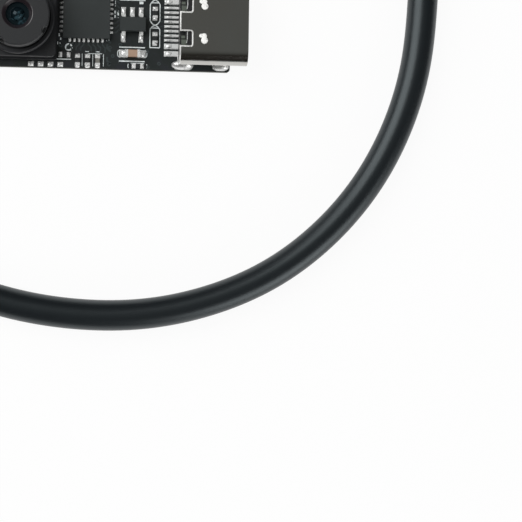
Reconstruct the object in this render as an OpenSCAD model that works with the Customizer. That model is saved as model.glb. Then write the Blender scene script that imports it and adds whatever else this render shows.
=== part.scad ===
// Narrow camera module: a lens block, a controller and a reversible socket on one board,
// with the module's own thin lead, its coil and its plug.
// +X runs to the socket's mouth, +Z to the lens. The board's underside lies at z = 0.

/* [Circuit board] */
// How far the board stands out past the socket on each side
board_margin = 0.53; // [0.4:0.01:2]
// Thickness of the board
board_t = 1; // [0.8:0.1:1.6]
// Radius of the board's corners
board_corner_r = 0.3; // [0.1:0.1:0.8]
// Thickness of a copper pad with its tin
pad_t = 0.06; // [0.03:0.01:0.12]
// Free strip between a pad and the board's edge
edge_strip = 0.08; // [0.04:0.01:0.15]

/* [Spaces along the board] */
// From the socket's contact tails to the column of resistors
column_gap = 0.75; // [0.4:0.01:3]
// From that column to the regulator
regulator_gap = 0.76; // [0.4:0.01:3]
// From the regulator to the controller
controller_gap = 0.98; // [0.7:0.01:3]
// From the controller to the lens holder
holder_gap = 0.58; // [0.5:0.01:3]
// From the lens holder to the header's tails
header_gap = 1.2; // [0.4:0.1:5]

/* [Lens block] */
// Strip of board left free beside the holder's square foot
holder_edge = 0.75; // [0.6:0.05:1]
// Height of the foot's rim
holder_foot_h = 0.9; // [0.4:0.1:1.4]
// Step from the foot's rim in to the block above
holder_step = 0.2; // [0.1:0.05:0.3]
// Height of the square block
holder_block_h = 2.3; // [2.1:0.1:2.6]
// From the foot's side in to the round collar
collar_inset = 0.35; // [0.25:0.05:0.5]
// Height of the collar's top
collar_h = 3.4; // [3.2:0.1:4.5]
// Step from the lens head in to its thread
thread_step = 0.35; // [0.2:0.05:0.6]
// Gap all round the lens thread
thread_gap = 0.03; // [0.01:0.01:0.06]
// Width of the collar's rim round the lens head
collar_rim = 0.4; // [0.3:0.05:0.6]
// Height of the lens head
head_h = 2; // [1.8:0.1:3.5]
// Gap between the head and the collar's rim, seen from the front
head_gap = 0.15; // [0.08:0.01:0.2]
// Height of the head's underside over the collar's top
head_lift = 0.15; // [0.1:0.01:0.3]
// Depth of the collar's recess round the thread
recess_h = 0.5; // [0.3:0.05:0.6]
// Number of grip notches in the head
notch_n = 4; // [4:1:8]
// Radius of one notch
notch_r = 0.42; // [0.2:0.02:0.5]
// Depth of the notches from the head's top
notch_h = 1; // [0.5:0.1:1.4]
// Radius of the front opening
aperture_r = 1.22; // [0.8:0.02:1.35]
// Width of the cone round the front opening
cone_w = 0.34; // [0.2:0.02:0.6]
// Depth of that cone
cone_h = 0.4; // [0.2:0.05:0.6]
// Width of the infrared filter
filter_w = 5; // [4.6:0.1:5.4]
// Thickness of the infrared filter
filter_t = 0.3; // [0.2:0.05:0.35]
// Length and width of the image sensor
sensor_size = [5.4, 4.6]; // [3:0.1:5.8]
// Height of the image sensor
sensor_h = 0.7; // [0.5:0.05:0.9]

/* [Chips] */
// Width of the controller's square body
controller_w = 5; // [4.5:0.5:5.5]
// Height of the controller
controller_h = 0.85; // [0.7:0.05:1]
// Leads along each side of the controller
controller_n = 8; // [6:1:8]
// Spacing of the controller's leads
controller_pitch = 0.5; // [0.4:0.05:0.52]
// How far the controller sits to the rear of the centre line
controller_off = 0.68; // [0.4:0.02:0.8]
// Length of the regulator's body
regulator_l = 2.9; // [2.8:0.1:3.2]
// Width of the regulator's body
regulator_w = 1.6; // [1.4:0.1:1.8]
// How far the regulator sits to the front of the centre line
regulator_off = 0.19; // [0:0.01:0.3]
// Height of the regulator
regulator_h = 1.1; // [0.8:0.05:1.4]
// Spacing of the regulator's leads
regulator_pitch = 0.95; // [0.85:0.01:1]
// Length, width and height of a large capacitor
capacitor_size = [1.6, 0.8, 0.8]; // [0.5:0.05:2]
// Distance from the board's long edge to a capacitor's middle
capacitor_inset = 1.7; // [1.6:0.05:1.8]
// Length, width and height of a small chip part
chip_size = [1, 0.5, 0.35]; // [0.3:0.05:1.1]
// Length of a chip part's metal end
chip_end = 0.25; // [0.15:0.01:0.3]
// Spacing of the column of resistors behind the socket
column_pitch = 2.72; // [2.4:0.01:2.8]
// Spacing of the row of small parts before the controller
row_pitch = 1.07; // [0.9:0.01:1.2]
// Distance from the board's front edge to that row's middle
row_inset = 0.84; // [0.8:0.02:1]

/* [Socket] */
// Outer width of the steel shell
shell_w = 8.94; // [8.8:0.02:9.1]
// Outer height of the steel shell
shell_h = 3.16; // [3.1:0.02:3.6]
// Length of the steel shell
shell_l = 7.3; // [7.2:0.1:9]
// Wall of the steel shell
shell_wall = 0.3; // [0.2:0.02:0.34]
// How far the shell stands out past the board
shell_out = 1.65; // [1.2:0.05:2.4]
// Depth from the mouth to the inner back wall
socket_depth = 5.2; // [4.6:0.1:5.4]
// Width of the tongue
tongue_w = 6.69; // [6.4:0.01:6.9]
// Thickness of the tongue
tongue_t = 0.7; // [0.66:0.02:0.9]
// How far the tongue's tip stays inside the mouth
tongue_inset = 0.9; // [0.4:0.1:1.6]
// Spacing of the contacts
contact_pitch = 0.5; // [0.46:0.01:0.52]
// Thickness of the contact metal
contact_t = 0.1; // [0.06:0.01:0.12]
// Reach of the contact tails behind the shell
tail_reach = 1.53; // [1:0.01:2]
// Length of a shell leg
leg_l = 1.06; // [0.7:0.02:1.2]

/* [Lead connector] */
// Number of wires
wire_n = 4; // [4:1:4]
// Spacing of the header's pins
pin_pitch = 1.25; // [1.2:0.05:1.3]
// Height of the header
header_h = 3.4; // [3.2:0.1:4.5]
// Length of the header
header_l = 5.6; // [5:0.1:7]
// Wall of the header
header_wall = 0.5; // [0.4:0.05:0.6]
// Length of the header's tails
header_tail = 1.05; // [0.8:0.05:1.4]
// Gap round the plug in the header
plug_gap = 0.08; // [0.04:0.01:0.12]
// How far the plug stands out of the header
plug_out = 1.2; // [0.8:0.1:2.4]

/* [Lead] */
// Diameter of the lead's jacket
lead_d = 3.3; // [3:0.1:3.6]
// Diameter of one wire
wire_d = 0.9; // [0.7:0.05:0.95]
// Length of the shrink sleeve
sleeve_l = 8; // [7:0.5:12]
// Wall of the shrink sleeve
sleeve_wall = 0.35; // [0.2:0.05:0.5]
// Mean radius of the coil's middle turn
coil_r = 17.5; // [16:0.5:22]
// Width of the coil's tie
tie_w = 4; // [3:0.5:6]
// Thickness of the coil's tie
tie_t = 0.4; // [0.3:0.05:0.6]

/* [Plug of the lead] */
// Length, width and height of the moulded grip
grip_size = [22, 15.4, 7.8]; // [7:0.2:30]
// Length of the strain relief
relief_l = 9; // [7:0.5:14]
// Exposed length, width and height of the plug's shell
plug_size = [12, 12, 4.5]; // [4.5:0.1:12.2]
// Wall of the plug's shell
plug_wall = 0.3; // [0.24:0.02:0.4]

/* [Hidden] */
$fn = 64;
eps = 0.01;

// Widths that follow the socket.
board_w = shell_w + 2 * board_margin;
front_y = -board_w / 2;
holder_w = board_w - 2 * holder_edge;
collar_r = holder_w / 2 - collar_inset;

// Places along the board, counted back from its socket end.
shell_back = shell_l - shell_out;
tails_back = shell_back + tail_reach;
column_back = tails_back + column_gap + chip_size[1] / 2;
regulator_back = column_back + chip_size[1] / 2 + regulator_gap + regulator_l / 2;
controller_back = regulator_back + regulator_l / 2 + controller_gap + controller_w / 2;
holder_back = controller_back + controller_w / 2 + holder_gap + holder_w / 2;
header_back = holder_back + holder_w / 2 + header_gap + header_tail;
board_l = header_back + header_l;
// The origin is the middle of the board and the shell together.
board_x1 = (board_l - shell_out) / 2;
board_x0 = board_x1 - board_l;
mouth_x = board_x1 + shell_out;
shell_x0 = board_x1 - shell_back;
column_x = board_x1 - column_back;
regulator_x = board_x1 - regulator_back;
controller_x = board_x1 - controller_back;
holder_x = board_x1 - holder_back;
header_x = board_x1 - header_back;
part_z = board_t + pad_t;

// Small parts on the board.
column_n = 3;
column_y = controller_off - 2.28;
row_shift = 0.17;
row_x = controller_x + row_shift;
row_y = front_y + row_inset;
corner_part = [controller_x - 2.3, front_y + 1.4];
edge_part = [regulator_x + 0.65, front_y + 0.38];
capacitor_x = regulator_x + 0.05;
capacitor_y = board_w / 2 - capacitor_inset;
capacitor_end = 1.2 * chip_end;
ceramic_inset = 0.03;
edge_pad_n = 4;
edge_pad_w = 0.6;
edge_pad_pitch = 1.04;
edge_pad_x = holder_x + holder_w / 2 - 1.22;
edge_pad_l = holder_edge - 0.15;
dot_r = 0.3;
dot_h = 0.04;
regulator_lift = 0.08;
regulator_lean = 0.08;
regulator_lead_w = 0.4;
regulator_lead_t = 0.14;
regulator_foot = 0.7;
controller_lead = [0.24, 0.34, 0.2];

// Lens block, with heights counted from the board's top.
holder_wall = 0.7;
holder_round = 0.35;
recess_r = collar_r - collar_rim;
head_r = recess_r - head_gap;
thread_r = head_r - thread_step;
bore_r = thread_r + thread_gap;
collar_bevel = 0.12;
head_bevel = 0.15;
head_z0 = collar_h + head_lift;
head_z1 = head_z0 + head_h;
recess_z = collar_h - recess_h;
cavity_w = holder_w - 2 * holder_wall;
cavity_h = 1.15;
pocket_gap = 0.05;
window_w = filter_w - 0.9;
ledge_h = 0.25;
bore_z0 = cavity_h + filter_t + ledge_h;
thread_z0 = bore_z0 + 0.2;
glass_seat_r = aperture_r + 0.28;
glass_t = 1.1;
rear_seat_r = glass_seat_r + 0.5;
rear_glass_t = 0.9;
retainer_t = 0.3;
glass_gap = 0.03;
front_glass_z = head_z1 - cone_h - 0.25;
rear_glass_z = front_glass_z - glass_t;
retainer_z = rear_glass_z - rear_glass_t;
notch_turn = 60;
vent_size = [0.8, 0.9, 0.35];
vent_x = -1.4;
glue_w = 0.8;
glue_h = 0.25;
glue_place = holder_w / 2 + 0.95;
die_inset = 0.7;
die_sink = 0.1;

// Socket.
socket_z = board_t + shell_h / 2;
back_wall_x = mouth_x - socket_depth;
tip_x = mouth_x - tongue_inset;
leg_y = shell_w / 2 - shell_wall / 2;
leg_slot = [leg_l + 0.7, shell_wall + 0.3];
rear_leg_x = shell_x0 + leg_l / 2;
front_leg_x = rear_leg_x + 4.09;
rear_solder = [2.3, 1, 0.6];
front_solder = [1.8, 0.78, 0.45];
solder_in = 0.2;
peg_x = rear_leg_x + 0.5;
peg_y = 2.89;
peg_r = 0.3;
peg_hole_r = 0.33;
peg_z = 0.15;
base_l = 2.1;
base_w = shell_w - 1.84;
flare_l = 0.12;
flare = 0.1;
shell_window = [1.3, 1.68];
shell_window_y = 1.81;
shell_window_r = 0.25;
window_step = [0.55, 0.75];
weld_x = shell_x0 + 2.45;
weld_y = 1.82;
weld_r = 0.3;
weld_rise = 0.03;
weld_spots = [[-0.25, 0.18], [0.2, 0.1], [0.12, -0.25]];
tail_w = 0.2;
tail_t = 0.15;
tail_pad_w = 0.3;
wide_tail_w = 0.45;
wide_pad_w = 0.6;
vbus_tail_y = 2.4;
ground_tail_y = 3.2;
riser_x = shell_x0 + 0.25;
strip_end = 0.5;
mid_plate_t = 0.14;
latch_notch = [0.9, 0.3];
latch_x = tip_x - 2;
tongue_root = [1.1, 0.2, 0.25];

// Header and its plug.
header_w = pin_pitch * (wire_n - 1) + 4.3;
plug_w = pin_pitch * (wire_n - 1) + 3.1;
plug_h = header_h - 2 * header_wall - 2 * plug_gap;
header_z = board_t + header_h / 2;
header_back_wall = 0.9;
header_top = board_t + header_h;
plug_x1 = header_x - header_back_wall - plug_gap;
plug_x0 = board_x0 - plug_out;
rib_w = 0.54;
rib_gap = 0.08;
rib_x1 = header_x - header_back_wall - 1.1;
pin_w = 0.36;
pin_l = 2.6;
pin_foot = [0.9, 0.2];
pin_back = 0.25;
terminal_w = 0.86;
terminal_l = 3.4;
terminal_room = 2.5;
terminal_gap = 0.05;
terminal_play = 0.02;
terminal_x1 = plug_x1 - 0.3;
terminal_x0 = terminal_x1 - terminal_l;
clip_w = (board_w - header_w) / 2 - 0.275;
clip_l = 1.8;
clip_in = 0.2;
clip_t = 0.2;
clip_h = 1.6;

// Sleeve, wires and the four-wire bundle in the sleeve's mouth.
lead_r = lead_d / 2;
sleeve_r = lead_r + sleeve_wall;
sleeve_turn = -75;
sleeve_dir = [cos(sleeve_turn), sin(sleeve_turn), 0];
sleeve_mouth = [-28.2, -5.5, lead_r + 0.35];
sleeve_neck = 3;
jacket_start = sleeve_mouth + sleeve_neck * sleeve_dir;
bundle = 0.55;
bundle_r = bundle + wire_d + 0.02;
mouth_wall = 0.2;
wire_steps = 14;
wire_reach = 3.5;
wire_widen = 0.9;

// The lead's route, chosen by hand along its middle line: places on the ground as x and y.
ground_route = [[-6.6, -30.3], [0.5, -31.4], [7.7, -31.3], [14.7, -29.8], [21.3, -26.9],
    [27, -22.6], [31.7, -17.1], [35.1, -10.7], [37.1, -3.8], [37.8, 3.3], [38, 9], [38, 14], [38, 15]];
run_route = concat(
    [for (l = [sleeve_neck, sleeve_l, sleeve_l + 1]) sleeve_mouth + l * sleeve_dir],
    [[-24.4, -18, lead_r + 0.2], [-20.8, -22.6, lead_r + 0.05], [-16.4, -26.2, lead_r],
        [-11.6, -28.7, lead_r]],
    [for (p = ground_route) [p[0], p[1], lead_r]]);

// The coil: three flat turns and a part turn on top, that leaves over the outer one.
coil_turns = 3;
entry = ground_route[len(ground_route) - 1];
lead_in = 13.5;
coil_mid = [entry[0] - coil_r - lead_d, entry[1] + lead_in];
coil_w = coil_turns * lead_d;
top_r = coil_r + lead_r;
top_z = lead_r + lead_d * sin(60);
over_z = 1.5 * lead_d;
exit_x = 1.5;
exit_y = coil_mid[1] + top_r;
top_start = -70;
tie_angle = 215;
tie_span = tie_w / coil_r * 180 / PI;

// Plug of the lead, on an axis at half the height of its grip.
plug_axis_z = grip_size[2] / 2;
relief_x = -6;
grip_x0 = relief_x - relief_l;
shell_px = grip_x0 - grip_size[0];
plug_tip_x = shell_px - plug_size[0];
plug_depth = 6;
relief_r = [lead_r + 0.5, lead_r + 1.6];
slot_n = 5;
slot_pitch = 1.5;
slot_size = [1.7, 6, 0.7];
slot_place = [lead_r + 1.3, 1.2];
grip_round = [2.2, 2.6];
groove_n = 4;
groove_pitch = 2.2;
groove_r = 0.8;
plug_corner_r = 0.45;
plug_window = [2.5, 2.3];
plug_window_place = [5.2, 2.5];
plug_in_w = plug_size[1] - 2 * plug_wall;
plug_in_h = plug_size[2] - 2 * plug_wall;
plug_tongue_t = 1.9;
plug_tongue_in = [0.6, 0.25];
strip_places = [-3.5, -1, 1, 3.5];
strip_w = 1;
strip_t = 0.25;
strip_sink = 0.3;
strip_in = 1.2;
tail_route = [for (p = [[exit_x, over_z], [exit_x - 0.6, over_z], [-1.4, 4.6], [-3.6, 4.1],
    [relief_x + 0.6, plug_axis_z], [relief_x, plug_axis_z]]) [p[0], exit_y, p[1]]];

// ---- helpers -------------------------------------------------------------------------------

function unit(v) = v / norm(v);

// A box from its low corner to its high corner.
module block(low, high) {
    translate(low) cube([high[0] - low[0], high[1] - low[1], high[2] - low[2]]);
}

// A flat rectangle with round corners, about the origin.
module round_rect(w, h, r) {
    square([w - 2 * r, h], center = true);
    square([w, h - 2 * r], center = true);
    for (sx = [-1, 1], sy = [-1, 1])
        translate([sx * (w / 2 - r), sy * (h / 2 - r)]) circle(r);
}

// A flat outline of straight sides and two round ends.
module stadium(w, h) {
    square([w - h, h], center = true);
    for (s = [-1, 1]) translate([s * (w - h) / 2, 0]) circle(h / 2);
}

// Stands a flat outline upright across the board and draws it from x0 to x1.
module along_x(x0, x1) {
    translate([x0, 0, 0]) rotate([90, 0, 90]) linear_extrude(x1 - x0) children();
}

// A thin pad on the board's top, given by its middle and its size.
module pad(x, y, lx, ly) {
    translate([x - lx / 2, y - ly / 2, board_t]) cube([lx, ly, pad_t]);
}

function tangent(path, i) =
    unit(path[min(i + 1, len(path) - 1)] - path[max(i - 1, 0)]);
function ring(path, i, r, n) =
    let (t = tangent(path, i), side = unit(cross(t, [0, 0, 1])), up = cross(side, t))
    [for (k = [0:n - 1]) let (a = (k + 0.5) * 360 / n) path[i] + r * (cos(a) * side + sin(a) * up)];

// A closed tube of n sides along a path of points.
module tube(path, r, n) {
    last = len(path) - 1;
    polyhedron(
        points = [for (i = [0:last]) each ring(path, i, r, n)],
        faces = concat(
            [[for (k = [0:n - 1]) k]],
            [for (i = [0:last - 1], k = [0:n - 1])
                [i * n + k, (i + 1) * n + k, (i + 1) * n + (k + 1) % n, i * n + (k + 1) % n]],
            [[for (k = [n - 1:-1:0]) last * n + k]]),
        convexity = 6);
}

// A point at share t on the curve that leaves a along da and reaches b along db.
function curve_point(a, da, db, b, t) =
    pow(1 - t, 3) * a + 3 * pow(1 - t, 2) * t * (a + da)
    + 3 * (1 - t) * pow(t, 2) * (b - db) + pow(t, 3) * b;

// ---- circuit board -------------------------------------------------------------------------

module circuit_board() color("#1d2526") difference() {
    translate([(board_x0 + board_x1) / 2, 0, 0]) linear_extrude(board_t)
        round_rect(board_l, board_w, board_corner_r);
    // Holes for the socket's pegs and slots for its legs.
    for (s = [-1, 1]) {
        translate([peg_x, s * peg_y, -eps]) cylinder(r = peg_hole_r, h = board_t + 2 * eps);
        for (x = [rear_leg_x, front_leg_x])
            translate([x, s * leg_y, -eps]) linear_extrude(board_t + 2 * eps)
                stadium(leg_slot[0], leg_slot[1]);
    }
}

// Calls its child once at each small chip part that lies along X.
module at_flat_chips() {
    for (p = [corner_part, edge_part]) translate([p[0], p[1], 0]) children();
}

// Calls its child once at each small chip part that lies along Y.
module at_cross_chips() {
    for (i = [-1:1]) translate([row_x + i * row_pitch, row_y, 0]) rotate([0, 0, 90]) children();
    for (i = [0:column_n - 1])
        translate([column_x, column_y + i * column_pitch, 0]) rotate([0, 0, 90]) children();
}

module at_capacitors() {
    for (s = [-1, 1]) translate([capacitor_x, s * capacitor_y, 0]) children();
}

// Two pads under a part's ends, that reach out past it.
module end_pads(size, l, out) {
    for (s = [-1, 1]) pad(s * (size[0] / 2 + out - l / 2), 0, l, size[1] + 0.04);
}

module contact_pads() {
    x0 = shell_x0 - tail_reach;
    x1 = shell_x0 + 0.18;
    for (s = [-1, 1]) {
        for (i = [0:3]) pad((x0 + x1) / 2, s * (i + 0.5) * contact_pitch, x1 - x0, tail_pad_w);
        for (y = [vbus_tail_y, ground_tail_y]) pad((x0 + x1) / 2, s * y, x1 - x0, wide_pad_w);
    }
}

// Pads round the legs' slots, from a little inside the legs out to the board's edge strip.
module leg_pads() {
    reach = board_w / 2 - edge_strip - leg_y;
    for (s = [0, 1], leg = [[rear_leg_x, rear_solder], [front_leg_x, front_solder]])
        mirror([0, s, 0]) translate([leg[0], leg_y, board_t]) linear_extrude(pad_t) difference() {
            stadium(leg[1][0], 2 * reach);
            stadium(leg_slot[0], leg_slot[1]);
            translate([-leg[1][0], -2 * reach]) square([2 * leg[1][0], 2 * reach - solder_in]);
        }
}

module regulator_pads() {
    out = regulator_w / 2 + 0.62;
    for (i = [-1:1]) pad(regulator_x + i * regulator_pitch, out - regulator_off, 0.5, 0.95);
    for (i = [-1, 1]) pad(regulator_x + i * regulator_pitch, -out - regulator_off, 0.5, 0.95);
}

module board_pads() color("#c9ccca") {
    contact_pads();
    leg_pads();
    regulator_pads();
    for (i = [0:edge_pad_n - 1])
        pad(edge_pad_x + (i - (edge_pad_n - 1) / 2) * edge_pad_pitch,
            front_y + (edge_pad_l + edge_strip) / 2, edge_pad_w, edge_pad_l - edge_strip);
    at_flat_chips() end_pads(chip_size, 0.4, 0.15);
    at_cross_chips() end_pads(chip_size, 0.45, 0.22);
    at_capacitors() end_pads(capacitor_size, 0.9, 0.65);
    controller_sides() pad(0, 0.03, 0.26, 0.62);
    for (i = [0:wire_n - 1]) pad(header_x + header_tail / 2, pin_y(i), header_tail, 0.6);
    for (s = [-1, 1])
        pad(header_x - header_l / 2, s * (header_w / 2 + clip_w / 2), clip_l, clip_w);
}

// ---- lens block ----------------------------------------------------------------------------

module holder_form() {
    linear_extrude(holder_foot_h) round_rect(holder_w, holder_w, holder_round);
    linear_extrude(holder_block_h)
        round_rect(holder_w - 2 * holder_step, holder_w - 2 * holder_step, holder_round + holder_step);
    rotate_extrude($fn = 96) polygon([[0, 0], [collar_r, 0], [collar_r, collar_h - collar_bevel],
        [collar_r - collar_bevel, collar_h], [0, collar_h]]);
}

module lens_holder() color("#2b2d31") translate([holder_x, 0, board_t]) difference() {
    holder_form();
    // Sensor room, filter pocket and light window, from below.
    block([-cavity_w / 2, -cavity_w / 2, -eps], [cavity_w / 2, cavity_w / 2, cavity_h]);
    pocket = filter_w / 2 + pocket_gap;
    block([-pocket, -pocket, 0], [pocket, pocket, cavity_h + filter_t]);
    block([-window_w / 2, -window_w / 2, 0], [window_w / 2, window_w / 2, bore_z0 + eps]);
    // Thread bore and the recess round its mouth.
    translate([0, 0, bore_z0]) cylinder(r = bore_r, h = collar_h, $fn = 96);
    translate([0, 0, recess_z]) cylinder(r = recess_r, h = collar_h, $fn = 96);
    // Vent notch in the foot's front wall.
    translate([vent_x, -holder_w / 2 - eps, -eps]) cube(vent_size);
    // Glue steps cut off the corners of the block.
    for (a = [45:90:315]) rotate([0, 0, a]) translate([glue_place, 0, holder_foot_h])
        linear_extrude(glue_h) rotate([0, 0, 45]) square(glue_w, center = true);
}

module barrel_profile() {
    polygon([
        [aperture_r + cone_w, head_z1], [head_r - head_bevel, head_z1], [head_r, head_z1 - head_bevel],
        [head_r, head_z0], [thread_r, head_z0],
        [thread_r, thread_z0 + head_bevel], [thread_r - head_bevel, thread_z0],
        [rear_seat_r, thread_z0], [rear_seat_r, rear_glass_z], [glass_seat_r, rear_glass_z],
        [glass_seat_r, front_glass_z], [aperture_r, front_glass_z], [aperture_r, head_z1 - cone_h]]);
}

module lens_barrel() color("#36373c") translate([holder_x, 0, board_t]) difference() {
    rotate_extrude($fn = 96) barrel_profile();
    for (i = [0:notch_n - 1]) rotate([0, 0, notch_turn + i * 360 / notch_n])
        translate([head_r + notch_r / 3, 0, head_z1 - notch_h])
            cylinder(r = notch_r, h = 2 * notch_h, $fn = 24);
}

// A round lens with a domed front and a hollowed or domed back, its front rim at z = 0.
module lens_disc(r, t, front_rise, front_r, back_rise, back_r) {
    steps = 10;
    rotate_extrude($fn = 64) polygon(concat(
        [for (i = [0:steps]) let (q = i / steps) [front_r * q, front_rise * (1 - q * q)]],
        [[r, 0], [r, -t]],
        [for (i = [steps:-1:0]) let (q = i / steps) [back_r * q, -t - back_rise * (1 - q * q)]]));
}

module front_lens() color("#31595c") translate([holder_x, 0, board_t + front_glass_z])
    lens_disc(glass_seat_r - glass_gap, glass_t, 0.3, aperture_r - glass_gap, -0.25, aperture_r);

module rear_lens() color("#4b6f70") translate([holder_x, 0, board_t + rear_glass_z])
    lens_disc(rear_seat_r - glass_gap, rear_glass_t, -0.2, aperture_r, 0.15, aperture_r + 0.1);

module lens_retainer() color("#26272a")
    translate([holder_x, 0, board_t + retainer_z - retainer_t]) difference() {
        cylinder(r = rear_seat_r - glass_gap, h = retainer_t);
        translate([0, 0, -eps]) cylinder(r = aperture_r + 0.2, h = retainer_t + 2 * eps);
    }

module infrared_filter() color("#7fa8a0")
    translate([holder_x - filter_w / 2, -filter_w / 2, board_t + cavity_h])
        cube([filter_w, filter_w, filter_t]);

module image_sensor() color("#3c4440")
    translate([holder_x - sensor_size[0] / 2, -sensor_size[1] / 2, board_t]) difference() {
        cube([sensor_size[0], sensor_size[1], sensor_h]);
        block([die_inset, die_inset, sensor_h - die_sink],
            [sensor_size[0] - die_inset, sensor_size[1] - die_inset, sensor_h + 1]);
    }

// ---- controller and regulator --------------------------------------------------------------

// Calls its child at every lead place round the controller, with +Y outwards at the body's edge.
module controller_sides() {
    translate([controller_x, controller_off, 0])
        for (a = [0:90:270], i = [0:controller_n - 1]) rotate([0, 0, a])
            translate([(i - (controller_n - 1) / 2) * controller_pitch, controller_w / 2, 0])
                children();
}

module controller_chip() color("#3a4040") translate([controller_x, controller_off, part_z])
    difference() {
        linear_extrude(controller_h) square(controller_w, center = true);
        translate([0.7 - controller_w / 2, controller_w / 2 - 0.7, controller_h - dot_h])
            cylinder(r = dot_r, h = 1);
    }

module controller_leads() color("#d4d6d4") controller_sides() translate([0, 0, part_z])
    rotate([90, 0, 90]) linear_extrude(controller_lead[0], center = true)
        polygon([[0, 0], [controller_lead[1], 0], [controller_lead[1] - 0.04, 0.06],
            [0.08, controller_lead[2]], [0, controller_lead[2]]]);

// The side view of a moulded body: its sides lean in from half its height.
module moulded_side(l, h, lean) {
    polygon([[lean - l / 2, 0], [l / 2 - lean, 0], [l / 2, h / 2], [l / 2 - lean, h],
        [lean - l / 2, h], [-l / 2, h / 2]]);
}

module regulator_body() color("#33383a")
    translate([regulator_x, -regulator_off, part_z + regulator_lift]) intersection() {
        h = regulator_h - regulator_lift;
        rotate([90, 0, 0]) linear_extrude(2 * regulator_w, center = true)
            moulded_side(regulator_l, h, regulator_lean);
        along_x(-regulator_l, regulator_l) moulded_side(regulator_w, h, regulator_lean);
    }

// One gull-wing lead that leaves the body along +Y.
module gull_lead() {
    z = part_z + (regulator_h + regulator_lift) / 2;
    y0 = regulator_w / 2 - eps;
    y1 = y0 + regulator_foot;
    t = regulator_lead_t;
    rotate([90, 0, 90]) linear_extrude(regulator_lead_w, center = true) polygon([
        [y0, z - t / 2], [y0 + 0.2, z - t / 2], [y0 + 0.3, part_z], [y1, part_z],
        [y1, part_z + t], [y0 + 0.42, part_z + t], [y0 + 0.32, z + t / 2], [y0, z + t / 2]]);
}

module regulator_leads() color("#cfd1cf") difference() {
    translate([regulator_x, -regulator_off, 0]) {
        for (i = [-1:1]) translate([i * regulator_pitch, 0, 0]) gull_lead();
        for (i = [-1, 1]) translate([i * regulator_pitch, 0, 0]) rotate([0, 0, 180]) gull_lead();
    }
    regulator_body();
}

// ---- capacitors and small chip parts -------------------------------------------------------

module two_ends(size, end_l) {
    for (s = [-1, 1]) translate([s * (size[0] - end_l) / 2, 0, part_z + size[2] / 2])
        cube([end_l, size[1], size[2]], center = true);
}

module chip_middle(size, end_l) {
    translate([0, 0, part_z + size[2] / 2])
        cube([size[0] - 2 * end_l, size[1] - 2 * ceramic_inset, size[2] - 2 * ceramic_inset],
            center = true);
}

module capacitor_bodies() color("#a5826a") at_capacitors() chip_middle(capacitor_size, capacitor_end);
module capacitor_ends() color("#c8cac8") at_capacitors() two_ends(capacitor_size, capacitor_end);

module chip_bodies() color("#24272a") {
    at_flat_chips() chip_middle(chip_size, chip_end);
    at_cross_chips() chip_middle(chip_size, chip_end);
}

module chip_ends() color("#cdd0ce") {
    at_flat_chips() two_ends(chip_size, chip_end);
    at_cross_chips() two_ends(chip_size, chip_end);
}

// ---- socket --------------------------------------------------------------------------------

module shell_outline() translate([0, socket_z]) stadium(shell_w, shell_h);

module cavity_outline(grow = 0) translate([0, socket_z])
    stadium(shell_w - 2 * shell_wall + grow, shell_h - 2 * shell_wall + grow);

module shell_legs() {
    for (s = [-1, 1], x = [rear_leg_x, front_leg_x])
        translate([x - leg_l / 2, s * leg_y - shell_wall / 2, 0]) cube([leg_l, shell_wall, socket_z]);
}

module weld_marks() {
    for (s = [-1, 1], p = weld_spots)
        translate([weld_x + p[0], s * weld_y + p[1], board_t + shell_h - shell_wall / 2])
            cylinder(r = weld_r, h = shell_wall / 2 + weld_rise, $fn = 24);
}

module socket_shell() color("#9a9a96") difference() {
    union() {
        along_x(shell_x0, mouth_x) shell_outline();
        shell_legs();
        weld_marks();
    }
    along_x(shell_x0 - eps, mouth_x + eps) cavity_outline();
    // Two windows cut in from the rear edge.
    for (s = [-1, 1]) translate([shell_x0, s * shell_window_y, socket_z + shell_h / 6])
        linear_extrude(shell_h) round_rect(2 * shell_window[0], shell_window[1], shell_window_r);
    // The underside is open where the insulator stands on the board.
    block([shell_x0 - eps, -base_w / 2, 0], [shell_x0 + base_l, base_w / 2, board_t + 2 * shell_wall]);
    // Flared lead-in at the mouth.
    along_x(mouth_x - flare_l, mouth_x + eps) cavity_outline(2 * flare);
}

// One contact: its tail on the board, its riser, and a strip in the tongue for each row it serves.
module contact(tail_y, w, strip_y, rows) {
    strip_half = contact_pitch / 4;
    top = max([for (row = rows) row * tongue_t / 2 + (row > 0 ? 0 : contact_t)]);
    block([shell_x0 - tail_reach + 0.1, tail_y - w / 2, part_z],
        [riser_x + tail_t, tail_y + w / 2, part_z + tail_t]);
    block([riser_x, tail_y - w / 2, part_z], [riser_x + tail_t, tail_y + w / 2, socket_z + top]);
    for (row = rows) translate([0, 0, socket_z + row * (tongue_t - contact_t) / 2 - contact_t / 2]) {
        linear_extrude(contact_t) polygon([[riser_x, tail_y - w / 2], [riser_x, tail_y + w / 2],
            [back_wall_x, strip_y + strip_half], [back_wall_x, strip_y - strip_half]]);
        block([back_wall_x - eps, strip_y - strip_half, 0],
            [tip_x - strip_end, strip_y + strip_half, contact_t]);
    }
}

module socket_contacts() color("#d9b65c") for (s = [-1, 1]) {
    for (i = [0:3]) contact(s * (i + 0.5) * contact_pitch, tail_w,
        s * (floor(i / 2) + 0.5) * contact_pitch, [i % 2 == 0 ? 1 : -1]);
    contact(s * vbus_tail_y, wide_tail_w, s * 2.5 * contact_pitch, [1, -1]);
    contact(s * ground_tail_y, wide_tail_w, s * 5.5 * contact_pitch, [1, -1]);
}

// Latch notches in the tongue's sides.
module latch_cuts() {
    for (s = [-1, 1]) translate([latch_x, s * tongue_w / 2 - latch_notch[1], socket_z - 1])
        cube([latch_notch[0], 2 * latch_notch[1], 2]);
}

module socket_mid_plate() color("#a8aaa8") difference() {
    block([back_wall_x - 1, -tongue_w / 2, socket_z - mid_plate_t / 2],
        [tip_x - 0.25, tongue_w / 2, socket_z + mid_plate_t / 2]);
    latch_cuts();
}

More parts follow.
